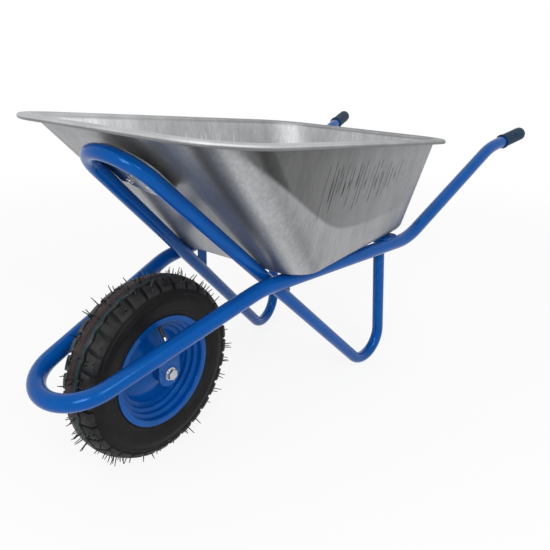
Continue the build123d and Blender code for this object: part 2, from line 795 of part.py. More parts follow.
with BuildPart() as axle_nut:
    nut_seat = axle_centre + across * (washer_face + press_gap)
    hex_nuts([nut_seat], across, axle_head_across_flats, spacer_bore, axle_nut_height)

with BuildPart() as axle_washers:
    for side in (-1, 1):
        turned_ring(side * (bracket_outer + press_gap), side * washer_face, spacer_bore, axle_washer_radius)

with BuildPart() as centre_spacer:
    turned_ring(-bearing_inner_face, bearing_inner_face, spacer_bore, axle_spacer_radius)

with BuildPart() as left_end_spacer:
    turned_ring(-hub_half_length, -bracket_inner + press_gap, spacer_bore, axle_spacer_radius)

with BuildPart() as right_end_spacer:
    turned_ring(hub_half_length, bracket_inner - press_gap, spacer_bore, axle_spacer_radius)

# Cranked axle brackets, coped to the underside of the front rails
nose_tip = at(nose_tip_x, 0, nose_tip_z)
rail_front = handle_to_rail[-1]
rail_above = nose_tip + (rail_front - nose_tip) * (nose_tip_x / (nose_tip_x - rail_front_x))
crank_y = (bracket_inner + bracket_outer) / 2
with BuildPart() as right_axle_bracket:
    with BuildSketch(Plane(at(-axle_bracket_width / 2, 0, 0), x_dir=(0, 1, 0), z_dir=(1, 0, 0))):
        with BuildLine():
            FilletPolyline(
                (crank_y, axle_height - axle_bracket_width / 2),
                (crank_y, axle_height + axle_bracket_straight),
                (rail_above.Y, rail_above.Z),
                radius=axle_bracket_bend,
            )
        trace(line_width=axle_bracket_thickness)
    extrude(amount=axle_bracket_width)
    with BuildSketch(Plane(axle_centre, x_dir=(1, 0, 0), z_dir=(0, 1, 0))):
        Circle(axle_bracket_width / 2)
        with Locations((0, -axle_height)):
            Rectangle(axle_bracket_width, 2 * axle_height)
    extrude(amount=2 * rail_above.Y, mode=Mode.INTERSECT)
    rod(axle_centre, axle_centre + across * 2 * bracket_outer, bearing_bore_radius + hole_clearance,
        mode=Mode.SUBTRACT)
    rod(nose_tip, rail_front, main_radius + weld_gap, mode=Mode.SUBTRACT)

with BuildPart() as left_axle_bracket:
    mirror(right_axle_bracket.part, about=Plane.XZ)

pieces.update(
    main_tube=main_tube,
    brace_tube=brace_tube,
    cross_strap=cross_strap,
    loop_plate=loop_plate,
    left_post=left_post,
    right_post=right_post,
    left_axle_bracket=left_axle_bracket,
    right_axle_bracket=right_axle_bracket,
    tray=tray,
    strap_bolts=strap_bolts,
    strap_washers=strap_washers,
    strap_nuts=strap_nuts,
    post_bolts=post_bolts,
    post_washers=post_washers,
    post_nuts=post_nuts,
    loop_bolts=loop_bolts,
    loop_spacers=loop_spacers,
    loop_washers=loop_washers,
    loop_nuts=loop_nuts,
    left_grip=left_grip,
    right_grip=right_grip,
    axle_bolt=axle_bolt,
    axle_nut=axle_nut,
    axle_washers=axle_washers,
    centre_spacer=centre_spacer,
    left_end_spacer=left_end_spacer,
    right_end_spacer=right_end_spacer,
    tyre=tyre,
    inner_tube=inner_tube,
    left_rim_half=left_rim_half,
    right_rim_half=right_rim_half,
    hub_tube=hub_tube,
    valve_stem=valve_stem,
    valve_cap=valve_cap,
)
for name, piece in pieces.items():
    piece.part.label = name
    export_step(piece.part, f"parts/{name}.step")
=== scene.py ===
"""Looks of a builder's wheelbarrow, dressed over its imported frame.

Metres, in the frame's own axes: +X runs back to the handles, +Z is up. Stations named "behind" are
measured back from the wheel's axle, heights from the ground.
"""
from __future__ import annotations

import json
import logging
import math
import random
from dataclasses import dataclass, field
from enum import Enum
from functools import reduce

import bpy
from mathutils import Matrix, Vector

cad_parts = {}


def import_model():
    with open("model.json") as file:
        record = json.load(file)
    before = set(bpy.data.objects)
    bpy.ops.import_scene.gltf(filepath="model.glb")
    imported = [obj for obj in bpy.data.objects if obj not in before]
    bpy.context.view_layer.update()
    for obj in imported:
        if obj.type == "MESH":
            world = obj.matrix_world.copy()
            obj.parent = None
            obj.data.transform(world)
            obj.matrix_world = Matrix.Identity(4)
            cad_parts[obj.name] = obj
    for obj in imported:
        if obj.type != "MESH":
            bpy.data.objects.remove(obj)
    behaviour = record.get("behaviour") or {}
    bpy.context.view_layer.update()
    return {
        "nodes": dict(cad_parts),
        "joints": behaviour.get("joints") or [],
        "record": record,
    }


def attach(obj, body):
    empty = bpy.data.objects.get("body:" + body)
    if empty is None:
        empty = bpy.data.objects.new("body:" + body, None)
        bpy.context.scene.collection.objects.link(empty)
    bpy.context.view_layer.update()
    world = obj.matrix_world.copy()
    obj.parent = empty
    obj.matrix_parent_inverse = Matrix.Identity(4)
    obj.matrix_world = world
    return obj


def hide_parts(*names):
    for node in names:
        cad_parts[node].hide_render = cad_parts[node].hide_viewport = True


LOG = logging.getLogger("wheelbarrow")
SHARP_ANGLE = math.radians(38)
# Share of lighter patches on the tread blocks.
TREAD_PALE_PATCHES = 0.2
DRAW_STEP = 100.5
RUB_SCALE = 90.0
NOISE_SPAN = (0.3, 0.7)
COLOUR, VALUE = "NodeSocketColor", "NodeSocketFloat"
WHITE = (1.0, 1.0, 1.0)

Point2 = tuple[float, float]
Point3 = tuple[float, float, float]
Node = bpy.types.Node
Tree = bpy.types.NodeTree
Socket = bpy.types.NodeSocket
Sockets = bpy.types.bpy_prop_collection
Piece = bpy.types.Object


class Side(Enum):
    """The barrow's two sides, with the sign of their Y."""

    LEFT = -1
    RIGHT = 1


class Slot(Enum):
    """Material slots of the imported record."""

    PAINT = "blue_paint"
    SHEET = "galvanised_sheet"
    ZINC = "zinc_plate"
    BEARING = "bearing_steel"
    TYRE = "tyre_rubber"
    RUBBER = "soft_rubber"
    SEAL = "seal_rubber"
    GRIP = "grip_plastic"


# Shader helpers


class NodeSheet:
    """A node tree with short calls to add and join its nodes; values are numbers or sockets."""

    def __init__(self, tree: Tree) -> None:
        """Wrap the tree of a material, a world or a node group."""
        self.tree = tree

    @classmethod
    def emptied(cls, owner: bpy.types.ID) -> NodeSheet:
        """Wrap the tree of a new material or world, without the nodes that it starts with.

        Args:
            owner: the material or world.

        Returns:
            Its empty sheet.
        """
        owner.use_nodes = True
        owner.node_tree.nodes.clear()
        return cls(owner.node_tree)

    def put(self, target: Socket, value: object) -> None:
        """Set an input, or join it to another node's output.

        Args:
            target: the input socket.
            value: a number, a vector, a colour of three parts, or an output socket.
        """
        if isinstance(value, Socket):
            self.tree.links.new(value, target)
        elif target.type == "RGBA":
            target.default_value = (*value, 1.0)
        else:
            target.default_value = value

    def add(self, kind: str, inputs: dict | None = None, **settings: object) -> Node:
        """Add a node.

        Args:
            kind: the node's Blender type name.
            inputs: socket name or index to what is put there.
            settings: attributes of the node itself.

        Returns:
            The new node.
        """
        node = self.tree.nodes.new(kind)
        for name, value in settings.items():
            setattr(node, name, value)
        for key, value in (inputs or {}).items():
            self.put(node.inputs[key], value)
        return node

    def place(self) -> Socket:
        """Give the surface point in the piece's own frame."""
        return self.add("ShaderNodeTexCoord").outputs["Object"]

    def axes(self, vector: Socket) -> list[Socket]:
        """Split a vector into its X, Y and Z."""
        return list(self.add("ShaderNodeSeparateXYZ", {"Vector": vector}).outputs)

    def math(self, operation: str, *values: object, clamp: bool = False) -> Socket:
        """Give the result of one of Blender's operations, held between 0 and 1 if clamped."""
        inputs = dict(enumerate(values))
        return self.add("ShaderNodeMath", inputs, operation=operation, use_clamp=clamp).outputs[0]

    def less(self, value: object, other: object) -> Socket:
        """Take one value from another."""
        return self.math("SUBTRACT", value, other)

    def product(self, *values: object) -> Socket:
        """Multiply two or more values."""
        return reduce(lambda first, second: self.math("MULTIPLY", first, second), values)

    def length(self, first: object, second: object) -> Socket:
        """Give the length of two square steps together."""
        squares = [self.math("MULTIPLY", part, part) for part in (first, second)]
        return self.math("SQRT", self.math("ADD", *squares))

    def weigh(self, share: object, first: object, second: object) -> Socket:
        """Mix two values; the share says how much of the second shows."""
        return self.add("ShaderNodeMix", {"Factor": share, 2: first, 3: second}).outputs[0]

    def blend(self, share: object, first: object, second: object) -> Socket:
        """Mix two colours; the share says how much of the second shows."""
        inputs = {"Factor": share, 6: first, 7: second}
        return self.add("ShaderNodeMix", inputs, data_type="RGBA").outputs[2]

    def span(
        self, value: object, low: float, high: float, start: float = 0.0, end: float = 1.0
    ) -> Socket:
        """Map a value smoothly, from start where it is low to end where it is high."""
        inputs = {"Value": value, "From Min": low, "From Max": high, "To Min": start, "To Max": end}
        return self.add("ShaderNodeMapRange", inputs, interpolation_type="SMOOTHSTEP").outputs[0]

    def noise(
        self, vector: Socket, scale: object, detail: float = 3.0, rough: float = 0.55
    ) -> Socket:
        """Give noise of so many features per metre, with finer octaves of a given strength."""
        inputs = {"Vector": vector, "Scale": scale, "Detail": detail, "Roughness": rough}
        return self.add("ShaderNodeTexNoise", inputs).outputs["Fac"]

    def stretched_noise(
        self, vector: Socket, scale: Point3, detail: float = 3.0, rough: float = 0.55
    ) -> Socket:
        """Give noise with its own number of features per metre along each axis."""
        stretched = self.add("ShaderNodeMapping", {"Vector": vector, "Scale": scale}).outputs[0]
        return self.noise(stretched, 1.0, detail, rough)

    def ramp(self, value: Socket, stops: tuple[Point2, ...]) -> Socket:
        """Look a tone up on a smooth ramp.

        Args:
            value: place on the ramp, from 0 to 1.
            stops: (place, tone) pairs in rising order.

        Returns:
            The tone's socket.
        """
        node = self.add("ShaderNodeValToRGB", {"Fac": value})
        node.color_ramp.interpolation = "EASE"
        keys = node.color_ramp.elements
        while len(keys) < len(stops):
            keys.new(1.0)
        for key, (place, tone) in zip(keys, stops):
            key.position = place
            key.color = (tone, tone, tone, 1.0)
        return node.outputs[0]

    def chance(self, cell: Socket, draw: int) -> Socket:
        """Give one of a numbered cell's steady random values, from 0 to 1."""
        seed = self.math("ADD", cell, DRAW_STEP * (draw + 1))
        return self.add("ShaderNodeTexWhiteNoise", {"W": seed}, noise_dimensions="1D").outputs[0]


class EffectGroups:
    """Shader node groups for the effects that several finishes share."""

    slow_scale: float = 9.0
    patch_span: Point2 = (0.35, 0.65)
    break_span: Point2 = (0.45, 0.62)

    def __init__(self) -> None:
        """Build every group once."""
        self.mottle = self._mottle()
        self.grain = self._grain()
        self.edge_wear_and_highlight = self._edge_wear_and_highlight()

    @staticmethod
    def _start(
        name: str, given: dict[str, object], results: dict[str, str]
    ) -> tuple[NodeSheet, Sockets, Sockets]:
        """Make an empty group with its sockets.

        Args:
            name: the group's name.
            given: name and first value of each input.
            results: name and socket type of each output.

        Returns:
            The group's sheet, the sockets that it is given and those of its results.
        """
        tree = bpy.data.node_groups.new(name, "ShaderNodeTree")
        for port, value in given.items():
            kind = VALUE if isinstance(value, float) else COLOUR
            tree.interface.new_socket(port, in_out="INPUT", socket_type=kind).default_value = value
        for port, kind in results.items():
            tree.interface.new_socket(port, in_out="OUTPUT", socket_type=kind)
        sheet = NodeSheet(tree)
        return sheet, sheet.add("NodeGroupInput").outputs, sheet.add("NodeGroupOutput").inputs

    def _mottle(self) -> Tree:
        """Build slow patches of lighter and darker tone over a surface.

        Returns:
            The group.
        """
        tones = {"Colour": (0.5, 0.5, 0.5, 1.0), "Other Colour": (0.4, 0.4, 0.4, 1.0)}
        sheet, given, result = self._start(
            "tone_mottle", {**tones, "Scale": 12.0, "Amount": 0.5}, {"Colour": COLOUR}
        )
        patches = sheet.noise(sheet.place(), given["Scale"], 4.0)
        mask = sheet.product(sheet.span(patches, *self.patch_span), given["Amount"])
        sheet.put(result["Colour"], sheet.blend(mask, given["Colour"], given["Other Colour"]))
        return sheet.tree

    def _grain(self) -> Tree:
        """Build fine surface grain as a height and a roughness that varies slowly.

        Returns:
            The group.
        """
        sheet, given, result = self._start(
            "surface_grain", {"Scale": 600.0, "Roughness": 0.4, "Spread": 0.08},
            {"Height": VALUE, "Roughness": VALUE},
        )
        place = sheet.place()
        slow = sheet.less(sheet.noise(place, self.slow_scale), 0.5)
        change = sheet.product(slow, given["Spread"], 2.0)
        sheet.put(result["Height"], sheet.noise(place, given["Scale"], 5.0))
        sheet.put(result["Roughness"], sheet.math("ADD", given["Roughness"], change))
        return sheet.tree

    def _edge_wear_and_highlight(self) -> Tree:
        """Build a broken mask along sharp edges: where handling rubs a paint finish, and where a
        painted highlight lies on the tyre's edges.

        Returns:
            The group.
        """
        sheet, given, result = self._start(
            "edge_wear_and_highlight", {"Start": 0.52, "End": 0.60, "Breakup Scale": 60.0}, {"Mask": VALUE}
        )
        ridge = sheet.add("ShaderNodeMapRange", {
            "Value": sheet.add("ShaderNodeNewGeometry").outputs["Pointiness"],
            "From Min": given["Start"],
            "From Max": given["End"],
        })
        broken = sheet.noise(sheet.place(), given["Breakup Scale"], 4.0)
        broken = sheet.span(broken, *self.break_span)
        sheet.put(result["Mask"], sheet.math("MULTIPLY", ridge.outputs[0], broken, clamp=True))
        return sheet.tree


@dataclass(frozen=True)
class Mottle:
    """A tone with patches of another: how many patches per metre, and how much they show."""

    colour: Point3
    other: Point3
    scale: float
    amount: float


@dataclass(frozen=True)
class Grain:
    """Fine surface grain: its features per metre, roughness and unevenness, and its bump."""

    scale: float
    rough: float
    spread: float
    depth: float
    strength: float


@dataclass(frozen=True)
class Scratch:
    """Sizes of a row of upright scratches on the tray's side walls, in metres."""

    front: float
    pitch: float
    count: int
    half_width: float
    top: float
    fall: float
    ragged: float
    foot: float
    ragged_foot: float
    lean: float = 0.10
    sway: Point2 = (0.25, 0.75)
    least_width: float = 0.4
    top_fade: float = 0.012
    foot_fade: float = 0.016


@dataclass
class Finish:
    """A named material with its Principled shader."""

    name: str
    groups: EffectGroups
    material: bpy.types.Material = field(init=False)
    sheet: NodeSheet = field(init=False)
    shader: Node = field(init=False)

    def __post_init__(self) -> None:
        """Make the material with a Principled shader on its output."""
        self.material = bpy.data.materials.new(self.name)
        self.sheet = NodeSheet.emptied(self.material)
        self.shader = self.sheet.add("ShaderNodeBsdfPrincipled")
        self.sheet.add("ShaderNodeOutputMaterial", {"Surface": self.shader.outputs[0]})
        self.paint()

    def paint(self) -> None:
        """Set the finish's nodes; each kind of finish has its own."""
        raise NotImplementedError

    def link(self, **sockets: object) -> None:
        """Set or join the shader's inputs, named with underscores for spaces."""
        for name, value in sockets.items():
            self.sheet.put(self.shader.inputs[name.replace("_", " ")], value)

    def use(self, group: Tree, **inputs: object) -> Sockets:
        """Place a shared effect, its inputs named with underscores, and give its outputs."""
        values = {name.replace("_", " "): value for name, value in inputs.items()}
        return self.sheet.add("ShaderNodeGroup", values, node_tree=group).outputs

    def mottled(self, tones: Mottle) -> Socket:
        """Give a mottled colour."""
        inputs = {"Colour": tones.colour, "Other_Colour": tones.other, "Scale": tones.scale}
        return self.use(self.groups.mottle, **inputs, Amount=tones.amount)["Colour"]

    def wear_and_highlight(self, edge: Point2) -> Socket:
        """Mask sharp edges, worn on paint and given a painted highlight on rubber, from the
        sharpness where the mask starts to where it is full.
        """
        start, end = edge
        return self.use(self.groups.edge_wear_and_highlight, Start=start, End=end, Breakup_Scale=RUB_SCALE)["Mask"]

    def fine(self, grain: Grain) -> Sockets:
        """Give a grain's height and roughness."""
        inputs = {"Scale": grain.scale, "Roughness": grain.rough, "Spread": grain.spread}
        return self.use(self.groups.grain, **inputs)

    def bump(self, height: Socket, grain: Grain) -> Socket:
        """Turn a height from 0 to 1 into a normal, as deep and strong as the grain says."""
        inputs = {"Height": height, "Distance": grain.depth, "Strength": grain.strength}
        return self.sheet.add("ShaderNodeBump", inputs).outputs[0]

    def roughen(self, grain: Grain) -> None:
        """Give the shader a grain's roughness and bump."""
        fine = self.fine(grain)
        self.link(Roughness=fine["Roughness"], Normal=self.bump(fine["Height"], grain))


@dataclass
class PlainFinish(Finish):
    """A metal, rubber or plastic of one mottled tone."""

    tones: Mottle
    grain: Grain
    metallic: float = 0.0
    gloss: float = 0.5

    def paint(self) -> None:
        """Set tone, gloss and grain."""
        self.roughen(self.grain)
        self.link(Base_Color=self.mottled(self.tones))
        self.link(Metallic=self.metallic, Specular_IOR_Level=self.gloss)


@dataclass
class GlossPaint(Finish):
    """Stoved blue enamel with a little orange peel."""

    tones: Mottle = Mottle((0.0005, 0.071, 0.320), (0.0004, 0.057, 0.265), 14.0, 0.7)
    peel: Grain = Grain(420.0, 0.18, 0.05, 0.00016, 0.2)
    rubbed_colour: Point3 = (0.05, 0.14, 0.36)
    rubbed_edge: Point2 = (0.53, 0.62)
    rubbed_share: float = 0.3
    gloss: float = 0.42
    gloss_tint: Point3 = (0.20, 0.56, 1.0)

    def paint(self) -> None:
        """Set colour, gloss and orange peel."""
        share = self.sheet.product(self.wear_and_highlight(self.rubbed_edge), self.rubbed_share)
        worn = self.sheet.blend(share, self.mottled(self.tones), self.rubbed_colour)
        self.roughen(self.peel)
        self.link(Base_Color=worn, Specular_IOR_Level=self.gloss, Specular_Tint=self.gloss_tint)


@dataclass
class GalvanisedSheet(Finish):
    """Drawn galvanised sheet: walls with painted light and shade, a painted reflection streak at
    each corner, draw scratches.
    """

    axle: Vector
    # Painted light: the inside is lighter than the outer walls, fading from a light front to a
    # darker rear.
    inner_lit_tones: Point2 = (0.75, 0.46)
    inner_lit_fade: Point2 = (0.05, 0.30)
    outside_fade: Point2 = (0.10, -0.04)
    # Painted light: the rim darkens towards the rear, and the bead's tone follows the way its
    # surface faces, a painted highlight on its upper shoulder and painted shade underneath.
    rim_lit_tones: Point2 = (0.50, 0.32)
    rim_lit_fade: Point2 = (0.0, 0.72)
    rim_band: Point2 = (-0.006, -0.001)
    rim_level: float = 0.6345
    rim_fall: float = 0.0919
    bead_highlight_tones: tuple[Point2, ...] = (
        (0.0, 0.40), (0.42, 0.40), (0.58, 0.72), (0.74, 0.98), (0.92, 0.98), (1.0, 0.80),
    )
    # Painted shade: the outer side walls above the draw edge are darker, darkest towards the front.
    drawn_shade_tones: Point2 = (0.115, 0.27)
    drawn_shade_fade: Point2 = (0.06, 0.62)
    side_fade: Point2 = (0.92, 1.0)
    # Painted reflection: round each front corner the outer tone runs through darker bands and a
    # bright streak, below and above the draw edge.
    low_reflection_tones: tuple[Point2, ...] = (
        (0.0, 0.34), (0.16, 0.20), (0.30, 0.28), (0.45, 0.43), (0.60, 0.38), (0.78, 0.27),
        (1.0, 0.31),
    )
    corner_reflection_tones: tuple[Point2, ...] = (
        (0.0, 0.34), (0.16, 0.20), (0.30, 0.28), (0.44, 0.42), (0.56, 0.28), (0.68, 0.12),
        (0.80, 0.045), (1.0, 0.075),
    )
    tint: Point3 = (0.985, 1.0, 1.02)
    corner_floor: Point2 = (0.282, 0.139)
    corner_rim: Point2 = (0.026, 0.168)
    wall_foot: float = 0.348
    wall_height: float = 0.29
    edge_base: float = 0.421
    edge_slope: float = 0.32
    edge_bend: float = 0.290
    edge_round: float = 0.070
    edge_half: float = 0.005
    line_scale: Point3 = (150.0, 150.0, 2.0)
    line_tones: Point2 = (0.91, 1.09)
    smear_scale: Point3 = (16.0, 16.0, 5.0)
    smear_tones: Point2 = (0.90, 1.10)
    spangle_scale: float = 170.0
    spangle_tones: Point2 = (0.97, 1.03)
    wear_scale: Point3 = (90.0, 90.0, 34.0)
    wear_span: Point2 = (0.28, 0.42)
    scratches: tuple[Scratch, ...] = (
        Scratch(0.205, 0.0165, 20, 0.0020, 0.613, 0.096, 0.022, 0.462, 0.052),
        Scratch(0.225, 0.0230, 13, 0.0027, 0.590, 0.096, 0.030, 0.498, 0.022),
    )
    scratch_share: float = 0.95
    scratch_rough: float = 0.2
    scratch_colour: Point3 = (0.022, 0.022, 0.024)
    bright_scratch: Point3 = (0.80, 0.80, 0.82)
    grain: Grain = Grain(300.0, 0.36, 0.08, 0.0002, 0.22)
    grain_height: float = 0.3
    inner_rough: float = 0.22
    metallic: float = 0.76

    def _corner_turn(self, x: Socket, side: Socket, z: Socket) -> Socket:
        """Find how far a point lies round a front corner.

        Args:
            x: distance behind the axle.
            side: distance from the middle plane.
            z: height.

        Returns:
            A socket from 0 on the front wall to 1 on a side wall.
        """
        sheet = self.sheet
        rise = sheet.math("DIVIDE", sheet.less(z, self.wall_foot), self.wall_height)
        middle = [
            sheet.math("MULTIPLY_ADD", rise, rim - floor, floor)
            for floor, rim in zip(self.corner_floor, self.corner_rim)
        ]
        out = sheet.math("MAXIMUM", sheet.less(side, middle[1]), 0.0)
        turn = sheet.math("ARCTAN2", out, sheet.less(middle[0], x))
        return sheet.math("DIVIDE", turn, math.pi / 2, clamp=True)

    def _drawn_zone(self, x: Socket, z: Socket) -> Socket:
        """Mask the part of a wall that was drawn through the die, above a curved edge.

        Args:
            x: distance behind the axle.
            z: height.

        Returns:
            The mask.
        """
        sheet = self.sheet
        run = sheet.less(self.edge_bend, x)
        reach = sheet.math("ADD", sheet.length(run, self.edge_round), run)
        edge = sheet.math("MULTIPLY_ADD", reach, self.edge_slope, self.edge_base)
        return sheet.span(sheet.less(z, edge), -self.edge_half, self.edge_half)

    def _scratches(self, x: Socket, z: Socket, scratch: Scratch) -> Socket:
        """Mask a row of upright scratches on the side walls, one in each cell of a row.

        Args:
            x: distance behind the axle.
            z: height.
            scratch: the row's sizes.

        Returns:
            The scratches' mask.
        """
        sheet, half = self.sheet, scratch.half_width
        leaned = sheet.math("MULTIPLY_ADD", sheet.less(z, scratch.top), -scratch.lean, x)
        place = sheet.math("DIVIDE", sheet.less(leaned, scratch.front), scratch.pitch)
        cell = sheet.math("FLOOR", place)
        centre = sheet.span(sheet.chance(cell, 0), 0.0, 1.0, *scratch.sway)
        away = sheet.math("ABSOLUTE", sheet.less(sheet.math("FRACT", place), centre))
        width = sheet.span(sheet.chance(cell, 1), 0.0, 1.0, scratch.least_width * half, half)
        width = sheet.math("DIVIDE", width, scratch.pitch)
        line = sheet.span(sheet.math("DIVIDE", away, width), 1.0, 0.5)
        top = sheet.math("MULTIPLY_ADD", x, -scratch.fall, scratch.top)
        top = sheet.math("MULTIPLY_ADD", sheet.chance(cell, 2), -scratch.ragged, top)
        foot = sheet.math("MULTIPLY_ADD", sheet.chance(cell, 3), scratch.ragged_foot, scratch.foot)
        below = sheet.span(sheet.less(top, z), 0.0, scratch.top_fade)
        above = sheet.span(sheet.less(z, foot), 0.0, scratch.foot_fade)
        after_first = sheet.math("GREATER_THAN", place, 0.0)
        before_last = sheet.math("LESS_THAN", place, float(scratch.count))
        return sheet.product(line, below, above, after_first, before_last)

    def paint(self) -> None:
        """Set the zinc's tone with painted light, shade and reflection, its draw lines, painted
        corner reflection streaks and scratches.
        """
        sheet = self.sheet
        place = sheet.place()
        along, across, z = sheet.axes(place)
        x, side = sheet.less(along, self.axle.x), sheet.math("ABSOLUTE", across)
        up = sheet.axes(sheet.add("ShaderNodeTexCoord").outputs["Normal"])[2]
        outside = sheet.span(up, *self.outside_fade)
        turn = self._corner_turn(x, side, z)
        # Painted shade: the outer side walls above the draw edge are darker, darkest towards the
        # front.
        drawn = sheet.span(x, *self.drawn_shade_fade, *self.drawn_shade_tones)
        # Painted reflection: bands round each front corner, with a bright streak between darker
        # bands.
        corner = sheet.ramp(turn, self.corner_reflection_tones)
        drawn = sheet.weigh(sheet.span(turn, *self.side_fade), corner, drawn)
        outer_shade_and_reflection = sheet.weigh(self._drawn_zone(x, z), sheet.ramp(turn, self.low_reflection_tones), drawn)
        # Painted light: the inside's tone fades from light at the front to darker at the rear.
        inner = sheet.span(x, *self.inner_lit_fade, *self.inner_lit_tones)
        level = sheet.math("MULTIPLY_ADD", x, self.rim_fall, z)
        on_rim = sheet.span(sheet.less(level, self.rim_level), *self.rim_band)
        # Painted highlight and shade on the bead, by the way its surface faces; the rim darkens
        # towards the rear.
        bead = sheet.ramp(sheet.span(up, -1.0, 1.0), self.bead_highlight_tones)
        rim = sheet.product(sheet.span(x, *self.rim_lit_fade, *self.rim_lit_tones), bead)
        lines = sheet.stretched_noise(place, self.line_scale, rough=0.6)
        smears = sheet.stretched_noise(place, self.smear_scale)
        cells = sheet.add("ShaderNodeTexVoronoi", {"Vector": place, "Scale": self.spangle_scale})
        tone = sheet.product(
            sheet.weigh(on_rim, sheet.weigh(outside, inner, outer_shade_and_reflection), rim),
            sheet.weigh(on_rim, sheet.span(lines, *NOISE_SPAN, *self.line_tones), 1.0),
            sheet.span(smears, *NOISE_SPAN, *self.smear_tones),
            sheet.span(cells.outputs["Distance"], 0.0, 1.0, *self.spangle_tones),
        )
        metal = sheet.add("ShaderNodeVectorMath", {0: self.tint, "Scale": tone}, operation="SCALE")
        worn = sheet.span(sheet.stretched_noise(place, self.wear_scale, 2.0), *self.wear_span)
        marks = sheet.math("MAXIMUM", *[self._scratches(x, z, row) for row in self.scratches])
        marks = sheet.product(marks, worn, self.scratch_share)
        scratched = sheet.blend(outside, self.bright_scratch, self.scratch_colour)
        fine = self.fine(self.grain)
        rough = sheet.math("MULTIPLY_ADD", marks, self.scratch_rough, fine["Roughness"])
        rough = sheet.math("ADD", rough, sheet.span(outside, 0.0, 1.0, self.inner_rough, 0.0))
        low = sheet.product(fine["Height"], self.grain_height)
        height = sheet.math("MULTIPLY_ADD", lines, 1 - self.grain_height, low)
        self.link(
            Base_Color=sheet.blend(marks, metal.outputs[0], scratched),
            Metallic=self.metallic,
            Roughness=rough,
            Normal=self.bump(height, self.grain),
        )


@dataclass
class TyreRubber(Finish):
    """Black moulded rubber with thin painted lines round the tread, a painted highlight along sharp
    edges and lighter patches.
    """

    axle: Vector
    # How much the lighter patches show.
    pale_patches: float = 0.0
    tones: Mottle = Mottle((0.0045, 0.0045, 0.0048), (0.009, 0.009, 0.0095), 25.0, 0.8)
    grain: Grain = Grain(500.0, 0.50, 0.12, 0.0004, 0.4)
    gloss: float = 0.15
    # Painted highlight: sharp edges such as the block ends are lighter grey; the same grey shows in
    # the lighter patches.
    pale_and_highlight_colour: Point3 = (0.080, 0.080, 0.083)
    highlight_edge: Point2 = (0.51, 0.57)
    patch_scale: float = 40.0
    patch_tones: Point2 = (0.5, 1.5)
    lines: tuple[tuple[float, Point3], ...] = (
        (-0.0105, (0.012, 0.048, 0.053)), (0.002, (0.085, 0.020, 0.015)),
    )
    line_edge: Point2 = (0.00225, 0.00105)
    line_wander: float = 0.003
    wander_scale: float = 30.0
    gap_scale: float = 70.0
    gap_span: Point2 = (0.32, 0.46)
    line_share: float = 0.8
    tread_radius: float = 0.170
    tread_fade: float = 0.002

    def paint(self) -> None:
        """Set the rubber's tone, mould grain, the painted highlight along sharp edges, lighter
        patches and the colour lines round the tread.
        """
        sheet = self.sheet
        place = sheet.place()
        x, y, z = sheet.axes(place)
        radius = sheet.length(sheet.less(x, self.axle.x), sheet.less(z, self.axle.z))
        on_tread = sheet.span(radius, self.tread_radius, self.tread_radius + self.tread_fade)
        wander = sheet.less(sheet.noise(place, self.wander_scale), 0.5)
        wander = sheet.product(wander, self.line_wander)
        gaps = sheet.span(sheet.noise(place, self.gap_scale, 2.0), *self.gap_span)
        patches = sheet.span(sheet.noise(place, self.patch_scale), *NOISE_SPAN, *self.patch_tones)
        # Lighter patches on the tread.
        paled = sheet.product(patches, self.pale_patches)
        # Painted highlight along sharp edges, joined with the lighter patches.
        wear_and_highlight = sheet.math("MAXIMUM", paled, self.wear_and_highlight(self.highlight_edge))
        colour = sheet.blend(wear_and_highlight, self.mottled(self.tones), self.pale_and_highlight_colour)
        for line, paint in self.lines:
            away = sheet.math("ABSOLUTE", sheet.math("ADD", sheet.less(y, line), wander))
            band = sheet.span(away, *self.line_edge)
            share = sheet.product(band, on_tread, gaps, self.line_share)
            colour = sheet.blend(share, colour, paint)
        self.roughen(self.grain)
        self.link(Base_Color=colour, Specular_IOR_Level=self.gloss)


# Mesh helpers


def placed(name: str, data: bpy.types.ID) -> Piece:
    """Make an object and link it to the scene.

    Args:
        name: the object's name.
        data: its mesh, lamp or camera.

    Returns:
        The new object.
    """
    piece = bpy.data.objects.new(name, data)
    bpy.context.scene.collection.objects.link(piece)
    return piece


